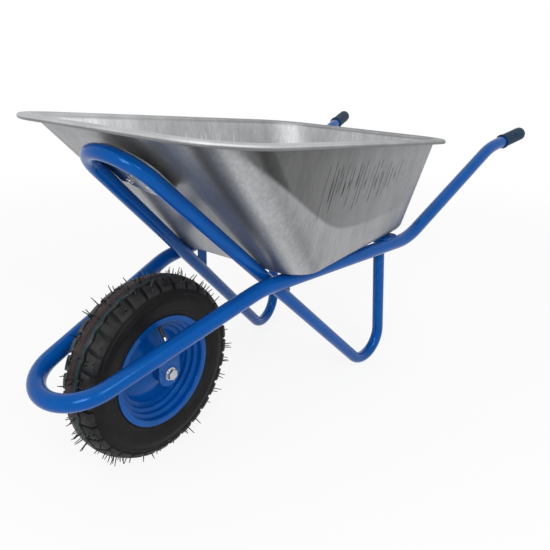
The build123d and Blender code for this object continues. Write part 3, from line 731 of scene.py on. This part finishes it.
class Shape:
    """Points and faces of a mesh that is being made."""

    def __init__(self) -> None:
        """Start without any points."""
        self.points: list[Vector] = []
        self.faces: list[tuple[int, ...]] = []

    def sheet(
        self, rows: list[list[Vector]], close_rows: bool = False, close_lines: bool = True
    ) -> None:
        """Lay quads over rows of points that follow each other.

        Args:
            rows: the rows, all of one size.
            close_rows: whether the last row joins the first.
            close_lines: whether each row is a ring.
        """
        start, count, size = len(self.points), len(rows), len(rows[0])
        self.points += [point for row in rows for point in row]
        for row in range(count if close_rows else count - 1):
            here, there = start + row * size, start + (row + 1) % count * size
            for k in range(size if close_lines else size - 1):
                after = (k + 1) % size
                self.faces.append((here + k, here + after, there + after, there + k))

    def patch(self, top: list[list[Vector]], foot: list[list[Vector]]) -> None:
        """Raise a patch: its top, and a skirt down to its foot all round.

        Args:
            top: lines of points over the patch.
            foot: the same lines, sunk below the surface that carries the patch.
        """
        start, lines, size = len(self.points), len(top), len(top[0])
        self.sheet(top, close_lines=False)
        edge = [(0, i) for i in range(size)] + [(j, size - 1) for j in range(1, lines)]
        edge += [(lines - 1, i) for i in reversed(range(size - 1))]
        edge += [(j, 0) for j in reversed(range(1, lines - 1))]
        foot_start = len(self.points)
        self.points += [foot[j][i] for j, i in edge]
        for k, (j, i) in enumerate(edge):
            after = (k + 1) % len(edge)
            next_j, next_i = edge[after]
            here, there = start + j * size + i, start + next_j * size + next_i
            self.faces.append((there, here, foot_start + k, foot_start + after))

    def piece(self, name: str, finish: Finish) -> Piece:
        """Make a smooth mesh object of the shape.

        Args:
            name: the piece's name.
            finish: the finish it wears.

        Returns:
            The new object.
        """
        mesh = bpy.data.meshes.new(name)
        mesh.from_pydata([tuple(point) for point in self.points], [], self.faces)
        mesh.validate()
        mesh.polygons.foreach_set("use_smooth", [True] * len(mesh.polygons))
        mesh.set_sharp_from_angle(angle=SHARP_ANGLE)
        mesh.materials.append(finish.material)
        return placed(name, mesh)


def ring_points(centre: Vector, axis: Vector, radius: float, count: int) -> list[Vector]:
    """Place points evenly on a circle.

    Args:
        centre: the circle's centre.
        axis: unit vector square to its plane.
        radius: its radius.
        count: how many points.

    Returns:
        The points.
    """
    side = axis.orthogonal().normalized()
    other = axis.cross(side)
    turns = [math.tau * k / count for k in range(count)]
    return [centre + (side * math.cos(turn) + other * math.sin(turn)) * radius for turn in turns]


def rounded(
    points: list[Point2], radii: list[float], steps: int, closed: bool = False
) -> list[Point2]:
    """Round a plane path's corners with arcs.

    Args:
        points: the path's corners.
        radii: an arc radius for each corner; the ends of an open path take none.
        steps: points on each arc, less one.
        closed: whether the path is a loop.

    Returns:
        The rounded path's points.
    """
    result: list[Point2] = []
    count = len(points)
    for k, corner in enumerate(points):
        if not closed and k in (0, count - 1):
            result.append(corner)
            continue
        here = Vector(corner)
        back = (Vector(points[k - 1]) - here).normalized()
        ahead = (Vector(points[(k + 1) % count]) - here).normalized()
        result += [tuple(point) for point in corner_arc(here, back, ahead, radii[k], steps)]
    return result


def corner_arc(
    corner: Vector, back: Vector, ahead: Vector, radius: float, steps: int
) -> list[Vector]:
    """Find points on the arc that rounds a corner.

    Args:
        corner: the sharp corner.
        back: unit direction back along the first side.
        ahead: unit direction on along the second side.
        radius: the arc's radius.
        steps: points on the arc, less one.

    Returns:
        The points.
    """
    half = back.angle(ahead) / 2
    reach, weight = radius / math.tan(half), math.sin(half)
    start, end = corner + back * reach, corner + ahead * reach
    points = []
    for step in range(steps + 1):
        t = step / steps
        a, b, c = (1 - t) ** 2, 2 * t * (1 - t) * weight, t**2
        points.append((start * a + corner * b + end * c) / (a + b + c))
    return points


def circle_through(first: Point2, second: Point2, third: Point2) -> tuple[Vector, float]:
    """Find the circle through three points.

    Args:
        first: a point.
        second: a point.
        third: a point.

    Returns:
        The circle's centre and radius.
    """
    a, b = Vector(second) - Vector(first), Vector(third) - Vector(first)
    area = 2 * (a.x * b.y - a.y * b.x)
    centre = Vector(first) + Vector((
        (b.y * a.length_squared - a.y * b.length_squared) / area,
        (a.x * b.length_squared - b.x * a.length_squared) / area,
    ))
    return centre, (centre - Vector(first)).length


def turned_piece(
    name: str, profile: list[Point2], start: Vector, axis: Vector, segments: int, finish: Finish
) -> Piece:
    """Turn an open profile about an axis.

    Args:
        name: the piece's name.
        profile: (distance along the axis, radius) points.
        start: where the distance is zero.
        axis: unit direction of the axis.
        segments: points round the axis.
        finish: the finish it wears.

    Returns:
        The new object.
    """
    shape = Shape()
    shape.sheet([ring_points(start + axis * t, axis, radius, segments) for t, radius in profile])
    return shape.piece(name, finish)


# Sub-assemblies


@dataclass(frozen=True)
class Outline:
    """A four-sided outline: its ends, half widths and corner radii, at the front and the rear."""

    front: float
    rear: float
    half_front: float
    half_rear: float
    corner_front: float
    corner_rear: float

    def points(self, corner_steps: int, edge_steps: int) -> list[Point2]:
        """Draw the outline with rounded corners and evenly divided edges.

        Args:
            corner_steps: points on each corner, less one.
            edge_steps: parts of each straight edge.

        Returns:
            The outline's points, anticlockwise.
        """
        corners = [
            (self.front, -self.half_front), (self.rear, -self.half_rear),
            (self.rear, self.half_rear), (self.front, self.half_front),
        ]
        radii = [self.corner_front, self.corner_rear, self.corner_rear, self.corner_front]
        arcs = rounded(corners, radii, corner_steps, closed=True)
        per_corner = corner_steps + 1
        result: list[Point2] = []
        for k in range(len(corners)):
            arc = arcs[k * per_corner:(k + 1) * per_corner]
            here, there = Vector(arc[-1]), Vector(arcs[(k + 1) * per_corner % len(arcs)])
            result += arc
            result += [tuple(here.lerp(there, step / edge_steps)) for step in range(1, edge_steps)]
        return result


@dataclass
class Tray:
    """The drawn tray: floor, rounded floor edge, four walls, flange and rolled bead."""

    axle: Vector
    finish: Finish
    floor: Outline = Outline(0.212, 0.716, 0.209, 0.198, 0.070, 0.096)
    floor_height: float = 0.3484
    edge_radius: float = 0.028
    rim: Outline = Outline(-0.093, 0.772, 0.287, 0.267, 0.119, 0.112)
    rim_height_front: float = 0.6444
    rim_height_rear: float = 0.5649
    flange: float = 0.020
    lip_bend: float = 0.006
    bead_radius: float = 0.0036
    bead_turn: float = math.radians(290)
    sheet: float = 0.0012
    corner_steps: int = 20
    edge_steps: int = 24
    wall_steps: int = 14
    bend_steps: int = 8

    def _floor_loop(self) -> list[Vector]:
        """Outline of the floor, where floor and walls would meet."""
        loop = self.floor.points(self.corner_steps, self.edge_steps)
        return [Vector((self.axle.x + x, y, self.floor_height)) for x, y in loop]

    def _rim_axes(self) -> tuple[Vector, Vector]:
        """Find the rim plane's directions.

        Returns:
            The direction back along the rim, and the plane's upward normal.
        """
        fall = self.rim_height_rear - self.rim_height_front
        along = Vector((self.rim.rear - self.rim.front, 0, fall)).normalized()
        return along, Vector((-along.z, 0, along.x))

    def _rim_loop(self, inset: float, lift: float) -> list[Vector]:
        """Outline in the sloping rim plane.

        Args:
            inset: how far inside the bead's centre line.
            lift: height above the bead's centre plane, square to it.

        Returns:
            The outline's points.
        """
        rim = self.rim
        along, up = self._rim_axes()
        length = math.hypot(rim.rear - rim.front, self.rim_height_rear - self.rim_height_front)
        half = length / 2 - inset
        mid_height = (self.rim_height_front + self.rim_height_rear) / 2
        middle = Vector((self.axle.x + (rim.front + rim.rear) / 2, 0, mid_height))
        sizes = (rim.half_front, rim.half_rear, rim.corner_front, rim.corner_rear)
        outline = Outline(-half, half, *(size - inset for size in sizes))
        loop = outline.points(self.corner_steps, self.edge_steps)
        return [middle + along * x + Vector((0, y, 0)) + up * lift for x, y in loop]

    @staticmethod
    def _outward(loop: list[Vector], up: Vector) -> list[Vector]:
        """Unit vectors out of an anticlockwise loop, in the plane that is square to up."""
        count = len(loop)
        return [(loop[(k + 1) % count] - loop[k - 1]).cross(up).normalized() for k in range(count)]

    def _bend(
        self, corners: list[Vector], first: list[Vector], second: list[Vector], radius: float
    ) -> list[list[Vector]]:
        """Rings of an arc between two sheet directions.

        Args:
            corners: where the two sheets would meet.
            first: unit direction back along the first sheet.
            second: unit direction on along the second sheet.
            radius: the bend's radius.

        Returns:
            The arc's rings.
        """
        arcs = [
            corner_arc(corner, back, ahead, radius, self.bend_steps)
            for corner, back, ahead in zip(corners, first, second)
        ]
        return [list(ring) for ring in zip(*arcs)]

    def build(self) -> Piece:
        """Build the tray as one sheet from the floor to the rolled bead.

        Returns:
            The tray.
        """
        _, up = self._rim_axes()
        floor = self._floor_loop()
        top = self._rim_loop(self.flange, self.bead_radius)
        bead = self._rim_loop(0.0, 0.0)
        floor_out = self._outward(floor, Vector((0, 0, 1)))
        rim_out = self._outward(bead, up)
        rise = [(high - low).normalized() for low, high in zip(floor, top)]
        rings = self._bend(floor, [-out for out in floor_out], rise, self.edge_radius)
        lip = self._bend(top, [-line for line in rise], rim_out, self.lip_bend)
        wall = list(zip(rings[-1], lip[0]))
        for step in range(1, self.wall_steps):
            rings.append([low.lerp(high, step / self.wall_steps) for low, high in wall])
        rings += lip
        roll_steps = 2 * self.bend_steps
        for step in range(roll_steps + 1):
            turn = self.bead_turn * step / roll_steps
            rings.append([
                centre + (up * math.cos(turn) + out * math.sin(turn)) * self.bead_radius
                for centre, out in zip(bead, rim_out)
            ])
        shape = Shape()
        shape.sheet(rings)
        shape.faces.append(tuple(reversed(range(len(floor)))))
        piece = shape.piece("drawn_tray", self.finish)
        thicken = piece.modifiers.new("sheet", "SOLIDIFY")
        thicken.thickness = self.sheet
        thicken.offset = -1.0
        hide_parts("tray")
        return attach(piece, "frame")


@dataclass
class Tyre:
    """The air-filled tyre: carcass, zigzag centre rib, shoulder blocks and mould hairs."""

    axle: Vector
    finish: Finish
    tread_finish: Finish
    radius: float = 0.184
    shoulder: float = 0.032
    crown_drop: float = 0.009
    half_width: float = 0.0415
    bead_half: float = 0.0348
    bead_width: float = 0.008
    bead_round: float = 0.0012
    lip_radius: float = 0.1117
    seat_radius: float = 0.1017
    segments: int = 288
    side_steps: int = 44
    floor_steps: int = 7
    side_ribs: tuple[Point3, ...] = (
        (0.1162, 0.0016, 0.0012), (0.1215, 0.0008, 0.0009), (0.1440, 0.0065, 0.0006),
        (0.1570, 0.0008, 0.0009),
    )
    tread_depth: float = 0.0055
    pitches: int = 32
    slot_width: float = 0.0068
    slant: float = 0.28
    rib_half: float = 0.0135
    rib_gap: float = 0.0044
    rib_round: float = 0.0007
    rib_shares: Point2 = (0.35, 0.65)
    zigzag: float = 0.0020
    wave_steps: int = 8
    block_lines: int = 9
    block_shares: tuple[float, ...] = (0.0, 0.06, 0.3, 0.5, 0.7, 0.88, 1.0)
    block_round: float = 0.0014
    block_rise: float = 0.0026
    block_sink: float = 0.0018
    skirt_drops: tuple[float, ...] = (0.0015, 0.0045, 0.0098, 0.0112)
    hair_radius: float = 0.0013
    hair_taper: float = 0.45
    hair_sides: int = 5
    hair_rings: int = 5
    hair_length: float = 0.0175
    hair_lengths: Point2 = (0.55, 1.15)
    hair_rows: tuple[Point2, ...] = ((0.0335, 0.85), (0.0235, 0.35), (0.0060, 0.08))
    hair_twin: float = 0.13
    hair_missing: float = 0.33
    hair_shift: float = 0.06
    hair_stray: float = 0.0012
    hair_lean: float = 0.22
    hair_curl: float = 0.25
    hair_side_curl: float = 0.2
    hair_seed: int = 7

    def __post_init__(self) -> None:
        """Find the circle of the side wall's section, as (offset along the axle, radius)."""
        self.shoulder_radius = self.radius - self.crown_drop
        self.side_centre, self.side_bow = circle_through(
            (self.shoulder, self.shoulder_radius),
            (self.half_width, (self.lip_radius + self.shoulder_radius) / 2),
            (self.bead_half, self.lip_radius),
        )

    def _at(self, y: float, radius: float, angle: float) -> Vector:
        """Point at an offset along the axle, a radius and an angle round it."""
        return self.axle + Vector((radius * math.cos(angle), y, radius * math.sin(angle)))

    def _crown(self, y: float) -> float:
        """Radius of the tread's top at an offset along the axle."""
        return self.radius - self.crown_drop * (y / self.shoulder) ** 2

    def _side(self, radius: float) -> float:
        """Offset of the side wall along the axle at a radius."""
        return self.side_centre.x + math.sqrt(self.side_bow**2 - (radius - self.side_centre.y) ** 2)

    def _side_rise(self, radius: float) -> float:
        """Height of the moulded rings on the side wall at a radius."""
        shares = [(height, (radius - middle) / half) for middle, half, height in self.side_ribs]
        return sum(height * max(0.0, 1 - share**4) for height, share in shares)

    def _carcass(self) -> Piece:
        """Turn the carcass about the axle, from bead to bead over the tread's floor.

        Returns:
            The carcass.
        """
        toe = self.bead_half - self.bead_width
        half = [
            (toe, self.lip_radius),
            (toe, self.seat_radius),
            (self.bead_half - self.bead_round, self.seat_radius),
            (self.bead_half, self.seat_radius + self.bead_round),
        ]
        top = self.shoulder_radius - self.skirt_drops[-1]
        for step in range(self.side_steps + 1):
            radius = self.lip_radius + (top - self.lip_radius) * step / self.side_steps
            half.append((self._side(radius) + self._side_rise(radius), radius))
        for step in range(self.floor_steps):
            y = (self.shoulder + self.block_rise) * (1 - step / self.floor_steps)
            half.append((y, self._crown(y) - self.tread_depth))
        middle = (0.0, self.radius - self.tread_depth)
        profile = [*half, middle, *((-y, radius) for y, radius in reversed(half))]
        across = Vector((0, 1, 0))
        return turned_piece("tyre_carcass", profile, self.axle, across, self.segments, self.finish)

    @staticmethod
    def _wave(phase: float) -> float:
        """Zigzag between -1 and 1, once for each unit of phase."""
        return 4 * abs(phase % 1.0 - 0.5) - 1

    def _rib(self) -> Piece:
        """Build the centre rib with its zigzag edges.

        Returns:
            The rib.
        """
        steps = self.pitches * self.wave_steps
        rows = []
        for k in range(steps):
            angle = math.tau * k / steps
            shift = self.zigzag * self._wave(k / self.wave_steps)
            low, high = shift - self.rib_half, shift + self.rib_half
            soft = self.rib_round
            section = [(low, -self.tread_depth), (low, -soft), (low + soft, 0.0)]
            section += [(low + (high - low) * t, 0.0) for t in self.rib_shares]
            section += [(high - soft, 0.0), (high, -soft), (high, -self.tread_depth)]
            rows.append([self._at(y, self._crown(y) + drop, angle) for y, drop in section])
        shape = Shape()
        shape.sheet(rows, close_rows=True, close_lines=False)
        return shape.piece("tread_rib", self.tread_finish)

    def _block_line(self, wave: float, edge: bool) -> tuple[list[Point2], list[Point2]]:
        """Section across a shoulder block, from its inner edge over the shoulder.

        Args:
            wave: zigzag of the block's inner edge, from -1 to 1.
            edge: whether the line is at an end of the block, where it is rounded off.

        Returns:
            (offset, radius) points of the top, and of the foot below it.
        """
        inner = self.rib_half + self.rib_gap + self.zigzag * wave
        soft = self.block_round if edge else 0.0
        top, foot = [], []
        for t in self.block_shares:
            y = inner + (self.shoulder - inner) * t
            top.append((y, self._crown(y) - max(soft, self.block_round * (t == 0.0))))
            foot.append((y, self._crown(y) - self.tread_depth - self.block_rise))
        for drop in self.skirt_drops:
            radius = self.shoulder_radius - drop
            rise = 0.0 if drop == self.skirt_drops[-1] else self.block_rise
            top.append((self._side(radius) + rise - soft / 2, radius))
            foot.append((self._side(radius) - self.block_sink, radius - self.block_sink))
        return top, foot

    def _blocks(self, side: Side) -> Piece:
        """Build one shoulder's row of slanted blocks.

        Args:
            side: which shoulder.

        Returns:
            The row.
        """
        shape = Shape()
        pitch = math.tau / self.pitches
        gap = self.slot_width / self.radius
        lean = self.slant / self.radius
        first = pitch / 2 if side is Side.RIGHT else 0.0
        for k in range(self.pitches):
            tops, feet = [], []
            for j in range(self.block_lines):
                share = j / (self.block_lines - 1)
                angle = first + pitch * k + gap / 2 + (pitch - gap) * share
                edge = j in (0, self.block_lines - 1)
                top, foot = self._block_line(side.value * self._wave(angle / pitch), edge)
                for lines, section in ((tops, top), (feet, foot)):
                    lines.append([
                        self._at(side.value * y, radius, angle + lean * (y - self.shoulder))
                        for y, radius in section
                    ])
            shape.patch(tops, feet)
        return shape.piece(f"{side.name.lower()}_shoulder_blocks", self.tread_finish)

    def _hair(
        self, shape: Shape, root: Vector, aim: Vector, bend: Vector, length: float
    ) -> None:
        """Add one thin hair to a shape.

        Args:
            shape: the shape, which grows.
            root: where the hair leaves the rubber.
            aim: unit direction in which it leaves.
            bend: how far its tip turns aside, as a share of its length.
            length: its length.
        """
        rings = []
        for ring in range(self.hair_rings):
            t = ring / (self.hair_rings - 1)
            centre = root + (aim * t + bend * t * t / 2) * length
            width = self.hair_radius * (1 - self.hair_taper * t)
            rings.append(ring_points(centre, aim, width, self.hair_sides))
        shape.sheet(rings)
        count = len(shape.points)
        shape.faces.append(tuple(range(count - self.hair_sides, count)))

    def _hairs(self) -> Piece:
        """Build the thin rubber hairs that the mould's vents leave, in pairs on every block.

        Returns:
            All the hairs as one piece.
        """
        dice = random.Random(self.hair_seed)
        shape = Shape()
        spots = [
            (offset, splay, side.value, k + 0.5 + twin)
            for offset, splay in self.hair_rows
            for side in Side
            for k in range(self.pitches)
            for twin in (-self.hair_twin, self.hair_twin)
        ]
        for offset, splay, sign, place in spots:
            if dice.random() < self.hair_missing:
                continue
            shift = dice.uniform(-self.hair_shift, self.hair_shift)
            angle = math.tau * (place + shift) / self.pitches
            y = offset + dice.uniform(-self.hair_stray, self.hair_stray)
            out = self._at(0, 1, angle) - self.axle
            around = Vector((-out.z, 0, out.x))
            lean = dice.uniform(-self.hair_lean, self.hair_lean)
            aim = out + Vector((0, sign * splay, 0)) + around * lean
            curl = dice.uniform(-self.hair_curl, self.hair_curl)
            side_curl = dice.uniform(-self.hair_side_curl, self.hair_side_curl)
            bend = around * curl + Vector((0, side_curl, 0))
            root = self._at(sign * y, self._crown(min(y, self.shoulder)) - self.block_rise, angle)
            length = self.hair_length * dice.uniform(*self.hair_lengths)
            self._hair(shape, root, aim.normalized(), bend, length)
        return shape.piece("mould_hairs", self.finish)

    def build(self) -> list[Piece]:
        """Build the tyre's pieces.

        Returns:
            The carcass, rib, blocks and hairs.
        """
        carcass = self._carcass()
        pieces = [carcass, self._rib(), *(self._blocks(side) for side in Side), self._hairs()]
        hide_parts("tyre")
        for piece in pieces:
            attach(piece, "wheel")
        return pieces


@dataclass
class Grips:
    """The moulded hand grips on the handle ends."""

    finish: Finish
    axle: Vector
    end_behind: float = 1.208
    end_half: float = 0.3055
    end_height: float = 0.5495
    bend_behind: float = 1.050
    bend_half: float = 0.270
    bend_height: float = 0.521
    tube_radius: float = 0.016
    tube_gap: float = 0.0002
    radius: float = 0.0187
    length: float = 0.104
    overhang: float = 0.0041
    skirt_length: float = 0.005
    skirt_lip: float = 0.0018
    skirt_slope: float = 0.002
    skirt_round: float = 0.0012
    round_steps: int = 4
    end_round: float = 0.009
    end_steps: int = 8
    tip_radius: float = 0.0005
    rib_count: int = 9
    rib_rise: float = 0.0005
    rib_start: float = 0.008
    rib_margins: float = 0.014
    rib_share: float = 0.3
    rib_flat: float = 0.6
    segments: int = 64

    def build(self) -> list[Piece]:
        """Build the left and right grips."""
        return [self._grip(side) for side in Side]

    def _profile(self) -> list[Point2]:
        """Draw a grip's half section, with its skirt, ribs and rounded end.

        Returns:
            (distance along the handle, radius) points.
        """
        lip = self.radius + self.skirt_lip
        corners = [
            (0.0, self.tube_radius + self.tube_gap), (0.0, lip), (self.skirt_length, lip),
            (self.skirt_length + self.skirt_slope, self.radius),
        ]
        profile = rounded(corners, [0.0, self.skirt_round, self.skirt_round, 0.0], self.round_steps)
        body = self.length - self.end_round - self.skirt_length - self.rib_margins
        half = body / self.rib_count * self.rib_share
        low = self.radius - self.rib_rise
        for rib in range(self.rib_count):
            middle = self.skirt_length + self.rib_start + body * (rib + 0.5) / self.rib_count
            profile += [
                (middle - half, low), (middle - half * self.rib_flat, self.radius),
                (middle + half * self.rib_flat, self.radius), (middle + half, low),
            ]
        for step in range(self.end_steps + 1):
            turn = math.pi / 2 * step / self.end_steps
            profile.append((
                self.length - self.end_round + self.end_round * math.sin(turn),
                self.radius - self.end_round + self.end_round * math.cos(turn),
            ))
        return profile + [(self.length, self.tip_radius)]

    def _grip(self, side: Side) -> Piece:
        """Turn one grip about its handle.

        Args:
            side: which handle.

        Returns:
            The grip.
        """
        station, sign = self.axle.x, side.value
        end = Vector((station + self.end_behind, sign * self.end_half, self.end_height))
        bend = Vector((station + self.bend_behind, sign * self.bend_half, self.bend_height))
        reach = (end - bend).normalized()
        start = end - reach * (self.length - self.overhang)
        name = side.name.lower()
        piece = turned_piece(
            f"{name}_hand_grip", self._profile(), start, reach, self.segments, self.finish
        )
        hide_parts(f"{name}_grip")
        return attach(piece, "frame")


@dataclass(frozen=True)
class Lamp:
    """A square soft lamp: its name, place, side and watts."""

    name: str
    place: Point3
    size: float
    power: float


@dataclass
class Studio:
    """Floor, lamps, world and camera."""

    axle: Vector
    camera_behind: float = -0.6289
    camera_side: float = -0.7534
    camera_height: float = 0.7603
    camera_yaw: float = 0.634
    camera_pitch: float = 0.379
    camera_roll: float = 0.029
    focal_pixels: float = 561.5
    picture_pixels: float = 550.0
    sensor: float = 36.0
    floor_size: float = 16.0
    floor_drop: float = 0.0005
    floor_colour: Point3 = (0.92, 0.92, 0.92)
    floor_white: float = 0.86
    fade_start: float = 1.0
    fade_end: float = 3.0
    soft_light: float = 0.55
    lamp_target: Point3 = (-0.1, 0.0, 0.4)
    lamps: tuple[Lamp, ...] = (
        Lamp("key_lamp", (-2.6, -1.1, 1.55), 0.9, 27.0),
        Lamp("top_lamp", (-0.3, 0.2, 3.0), 3.2, 15.0),
        Lamp("near_lamp", (-1.1, -2.0, 1.8), 0.9, 18.0),
    )

    def build(self) -> None:
        """Set up everything round the barrow, with colours shown as they are written."""
        bpy.context.scene.view_settings.view_transform = "Standard"
        self._camera()
        self._world()
        self._floor()
        for lamp in self.lamps:
            self._hang(lamp)

    def _camera(self) -> None:
        """Place the camera at the photograph's viewpoint."""
        data = bpy.data.cameras.new("viewpoint")
        data.sensor_width = self.sensor
        data.lens = self.sensor * self.focal_pixels / self.picture_pixels
        camera = placed("viewpoint", data)
        yaw, pitch, roll = self.camera_yaw, self.camera_pitch, self.camera_roll
        flat = math.cos(pitch)
        ahead = Vector((math.cos(yaw) * flat, math.sin(yaw) * flat, -math.sin(pitch)))
        level = Vector((math.sin(yaw), -math.cos(yaw), 0.0))
        upright = level.cross(ahead)
        right = level * math.cos(roll) + upright * math.sin(roll)
        up = upright * math.cos(roll) - level * math.sin(roll)
        turn = Matrix((right, up, -ahead)).transposed().to_4x4()
        place = Vector((self.axle.x + self.camera_behind, self.camera_side, self.camera_height))
        camera.matrix_world = Matrix.Translation(place) @ turn
        bpy.context.scene.camera = camera

    @staticmethod
    def _white_share(sheet: NodeSheet) -> Socket:
        """Find the rays that should see a white background.

        Args:
            sheet: the material's or world's nodes.

        Returns:
            A socket that is 1 for camera, glossy and transmission rays.
        """
        rays = sheet.add("ShaderNodeLightPath").outputs
        seen = sheet.math("MAXIMUM", rays["Is Camera Ray"], rays["Is Glossy Ray"])
        return sheet.math("MAXIMUM", seen, rays["Is Transmission Ray"])

    @staticmethod
    def _mixed(sheet: NodeSheet, share: Socket, first: Node, second: Node) -> Socket:
        """Mix two shaders; the share says how much of the second shows."""
        inputs = {0: share, 1: first.outputs[0], 2: second.outputs[0]}
        return sheet.add("ShaderNodeMixShader", inputs).outputs[0]

    def _world(self) -> None:
        """Light softly from all round, with a white background."""
        world = bpy.data.worlds.new("studio")
        sheet = NodeSheet.emptied(world)
        soft = sheet.add("ShaderNodeBackground", {"Color": WHITE, "Strength": self.soft_light})
        white = sheet.add("ShaderNodeBackground", {"Color": WHITE, "Strength": 1.0})
        mixed = self._mixed(sheet, self._white_share(sheet), soft, white)
        sheet.add("ShaderNodeOutputWorld", {"Surface": mixed})
        bpy.context.scene.world = world

    def _floor(self) -> None:
        """Lay a pale floor that keeps a soft shadow."""
        half = self.floor_size / 2
        mesh = bpy.data.meshes.new("studio_floor")
        corners = [(-half, -half, 0), (half, -half, 0), (half, half, 0), (-half, half, 0)]
        mesh.from_pydata(corners, [], [(0, 1, 2, 3)])
        floor = placed("studio_floor", mesh)
        floor.location.z = -self.floor_drop
        material = bpy.data.materials.new("studio_floor")
        sheet = NodeSheet.emptied(material)
        matt = sheet.add("ShaderNodeBsdfDiffuse", {"Color": self.floor_colour})
        glow = sheet.add("ShaderNodeEmission", {"Color": WHITE, "Strength": 1.0})
        away = sheet.add("ShaderNodeVectorMath", {0: sheet.place()}, operation="LENGTH")
        fade = sheet.span(away.outputs["Value"], self.fade_start, self.fade_end, self.floor_white)
        share = sheet.product(self._white_share(sheet), fade)
        mixed = self._mixed(sheet, share, matt, glow)
        sheet.add("ShaderNodeOutputMaterial", {"Surface": mixed})
        mesh.materials.append(material)

    def _hang(self, lamp: Lamp) -> None:
        """Hang a lamp that points at the barrow's middle.

        Args:
            lamp: the lamp's sizes.
        """
        data = bpy.data.lights.new(lamp.name, "AREA")
        data.size = lamp.size
        data.energy = lamp.power
        hung = placed(lamp.name, data)
        hung.location = lamp.place
        aim = Vector(self.lamp_target) - Vector(lamp.place)
        hung.rotation_euler = aim.to_track_quat("-Z", "Y").to_euler()


@dataclass
class FrameDress:
    """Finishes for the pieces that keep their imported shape."""

    nodes: dict[str, Piece]
    slots: dict[str, str]
    finishes: dict[Slot, Finish]

    def build(self) -> None:
        """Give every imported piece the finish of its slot."""
        for name, piece in self.nodes.items():
            finish = self.finishes[Slot(self.slots[name])]
            piece.data.materials.clear()
            piece.data.materials.append(finish.material)
            LOG.info("dressed %s in %s", name, finish.name)


def make_finishes(axle: Vector) -> dict[Slot, Finish]:
    """Make every finish.

    Args:
        axle: the wheel's centre.

    Returns:
        The finish of each slot.
    """
    groups = EffectGroups()
    zinc = Mottle((0.55, 0.56, 0.57), (0.42, 0.42, 0.41), 120.0, 0.7)
    steel = Mottle((0.60, 0.60, 0.61), (0.50, 0.50, 0.52), 200.0, 0.5)
    tube = Mottle((0.02, 0.02, 0.021), (0.04, 0.04, 0.042), 60.0, 0.6)
    seal = Mottle((0.035, 0.025, 0.02), (0.07, 0.05, 0.04), 60.0, 0.6)
    slate = Mottle((0.007, 0.030, 0.060), (0.013, 0.038, 0.072), 40.0, 0.7)
    plated = Grain(900.0, 0.26, 0.10, 0.0001, 0.3)
    ground = Grain(1500.0, 0.18, 0.05, 0.00005, 0.3)
    soft = Grain(900.0, 0.5, 0.1, 0.0002, 0.4)
    moulded = Grain(1100.0, 0.46, 0.08, 0.0003, 0.5)
    return {
        Slot.PAINT: GlossPaint("blue_enamel", groups),
        Slot.SHEET: GalvanisedSheet("galvanised_sheet", groups, axle),
        Slot.ZINC: PlainFinish("bright_zinc", groups, zinc, plated, metallic=1.0),
        Slot.BEARING: PlainFinish("bearing_steel", groups, steel, ground, metallic=1.0),
        Slot.TYRE: TyreRubber("tyre_rubber", groups, axle),
        Slot.RUBBER: PlainFinish("soft_rubber", groups, tube, soft, gloss=0.2),
        Slot.SEAL: PlainFinish("seal_rubber", groups, seal, soft, gloss=0.2),
        Slot.GRIP: PlainFinish("grip_plastic", groups, slate, moulded, gloss=0.12),
    }


def main() -> None:
    """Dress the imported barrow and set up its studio."""
    logging.basicConfig(level=logging.INFO, format="%(message)s")
    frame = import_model()
    spin = next(joint for joint in frame["joints"] if joint["name"] == "wheel_spin")
    axle = Vector(spin["pos_m"])
    finishes = make_finishes(axle)
    slots = {part["node"]: part["material_slot"] for part in frame["record"]["subparts"]}
    FrameDress(frame["nodes"], slots, finishes).build()
    pieces = [Tray(axle, finishes[Slot.SHEET]).build()]
    tread = TyreRubber("tread_rubber", finishes[Slot.TYRE].groups, axle, pale_patches=TREAD_PALE_PATCHES)
    pieces += Tyre(axle, finishes[Slot.TYRE], tread).build()
    pieces += Grips(finishes[Slot.GRIP], axle).build()
    for piece in pieces:
        LOG.info("built %s", piece.name)
    Studio(axle).build()


if __name__ == "__main__":
    main()
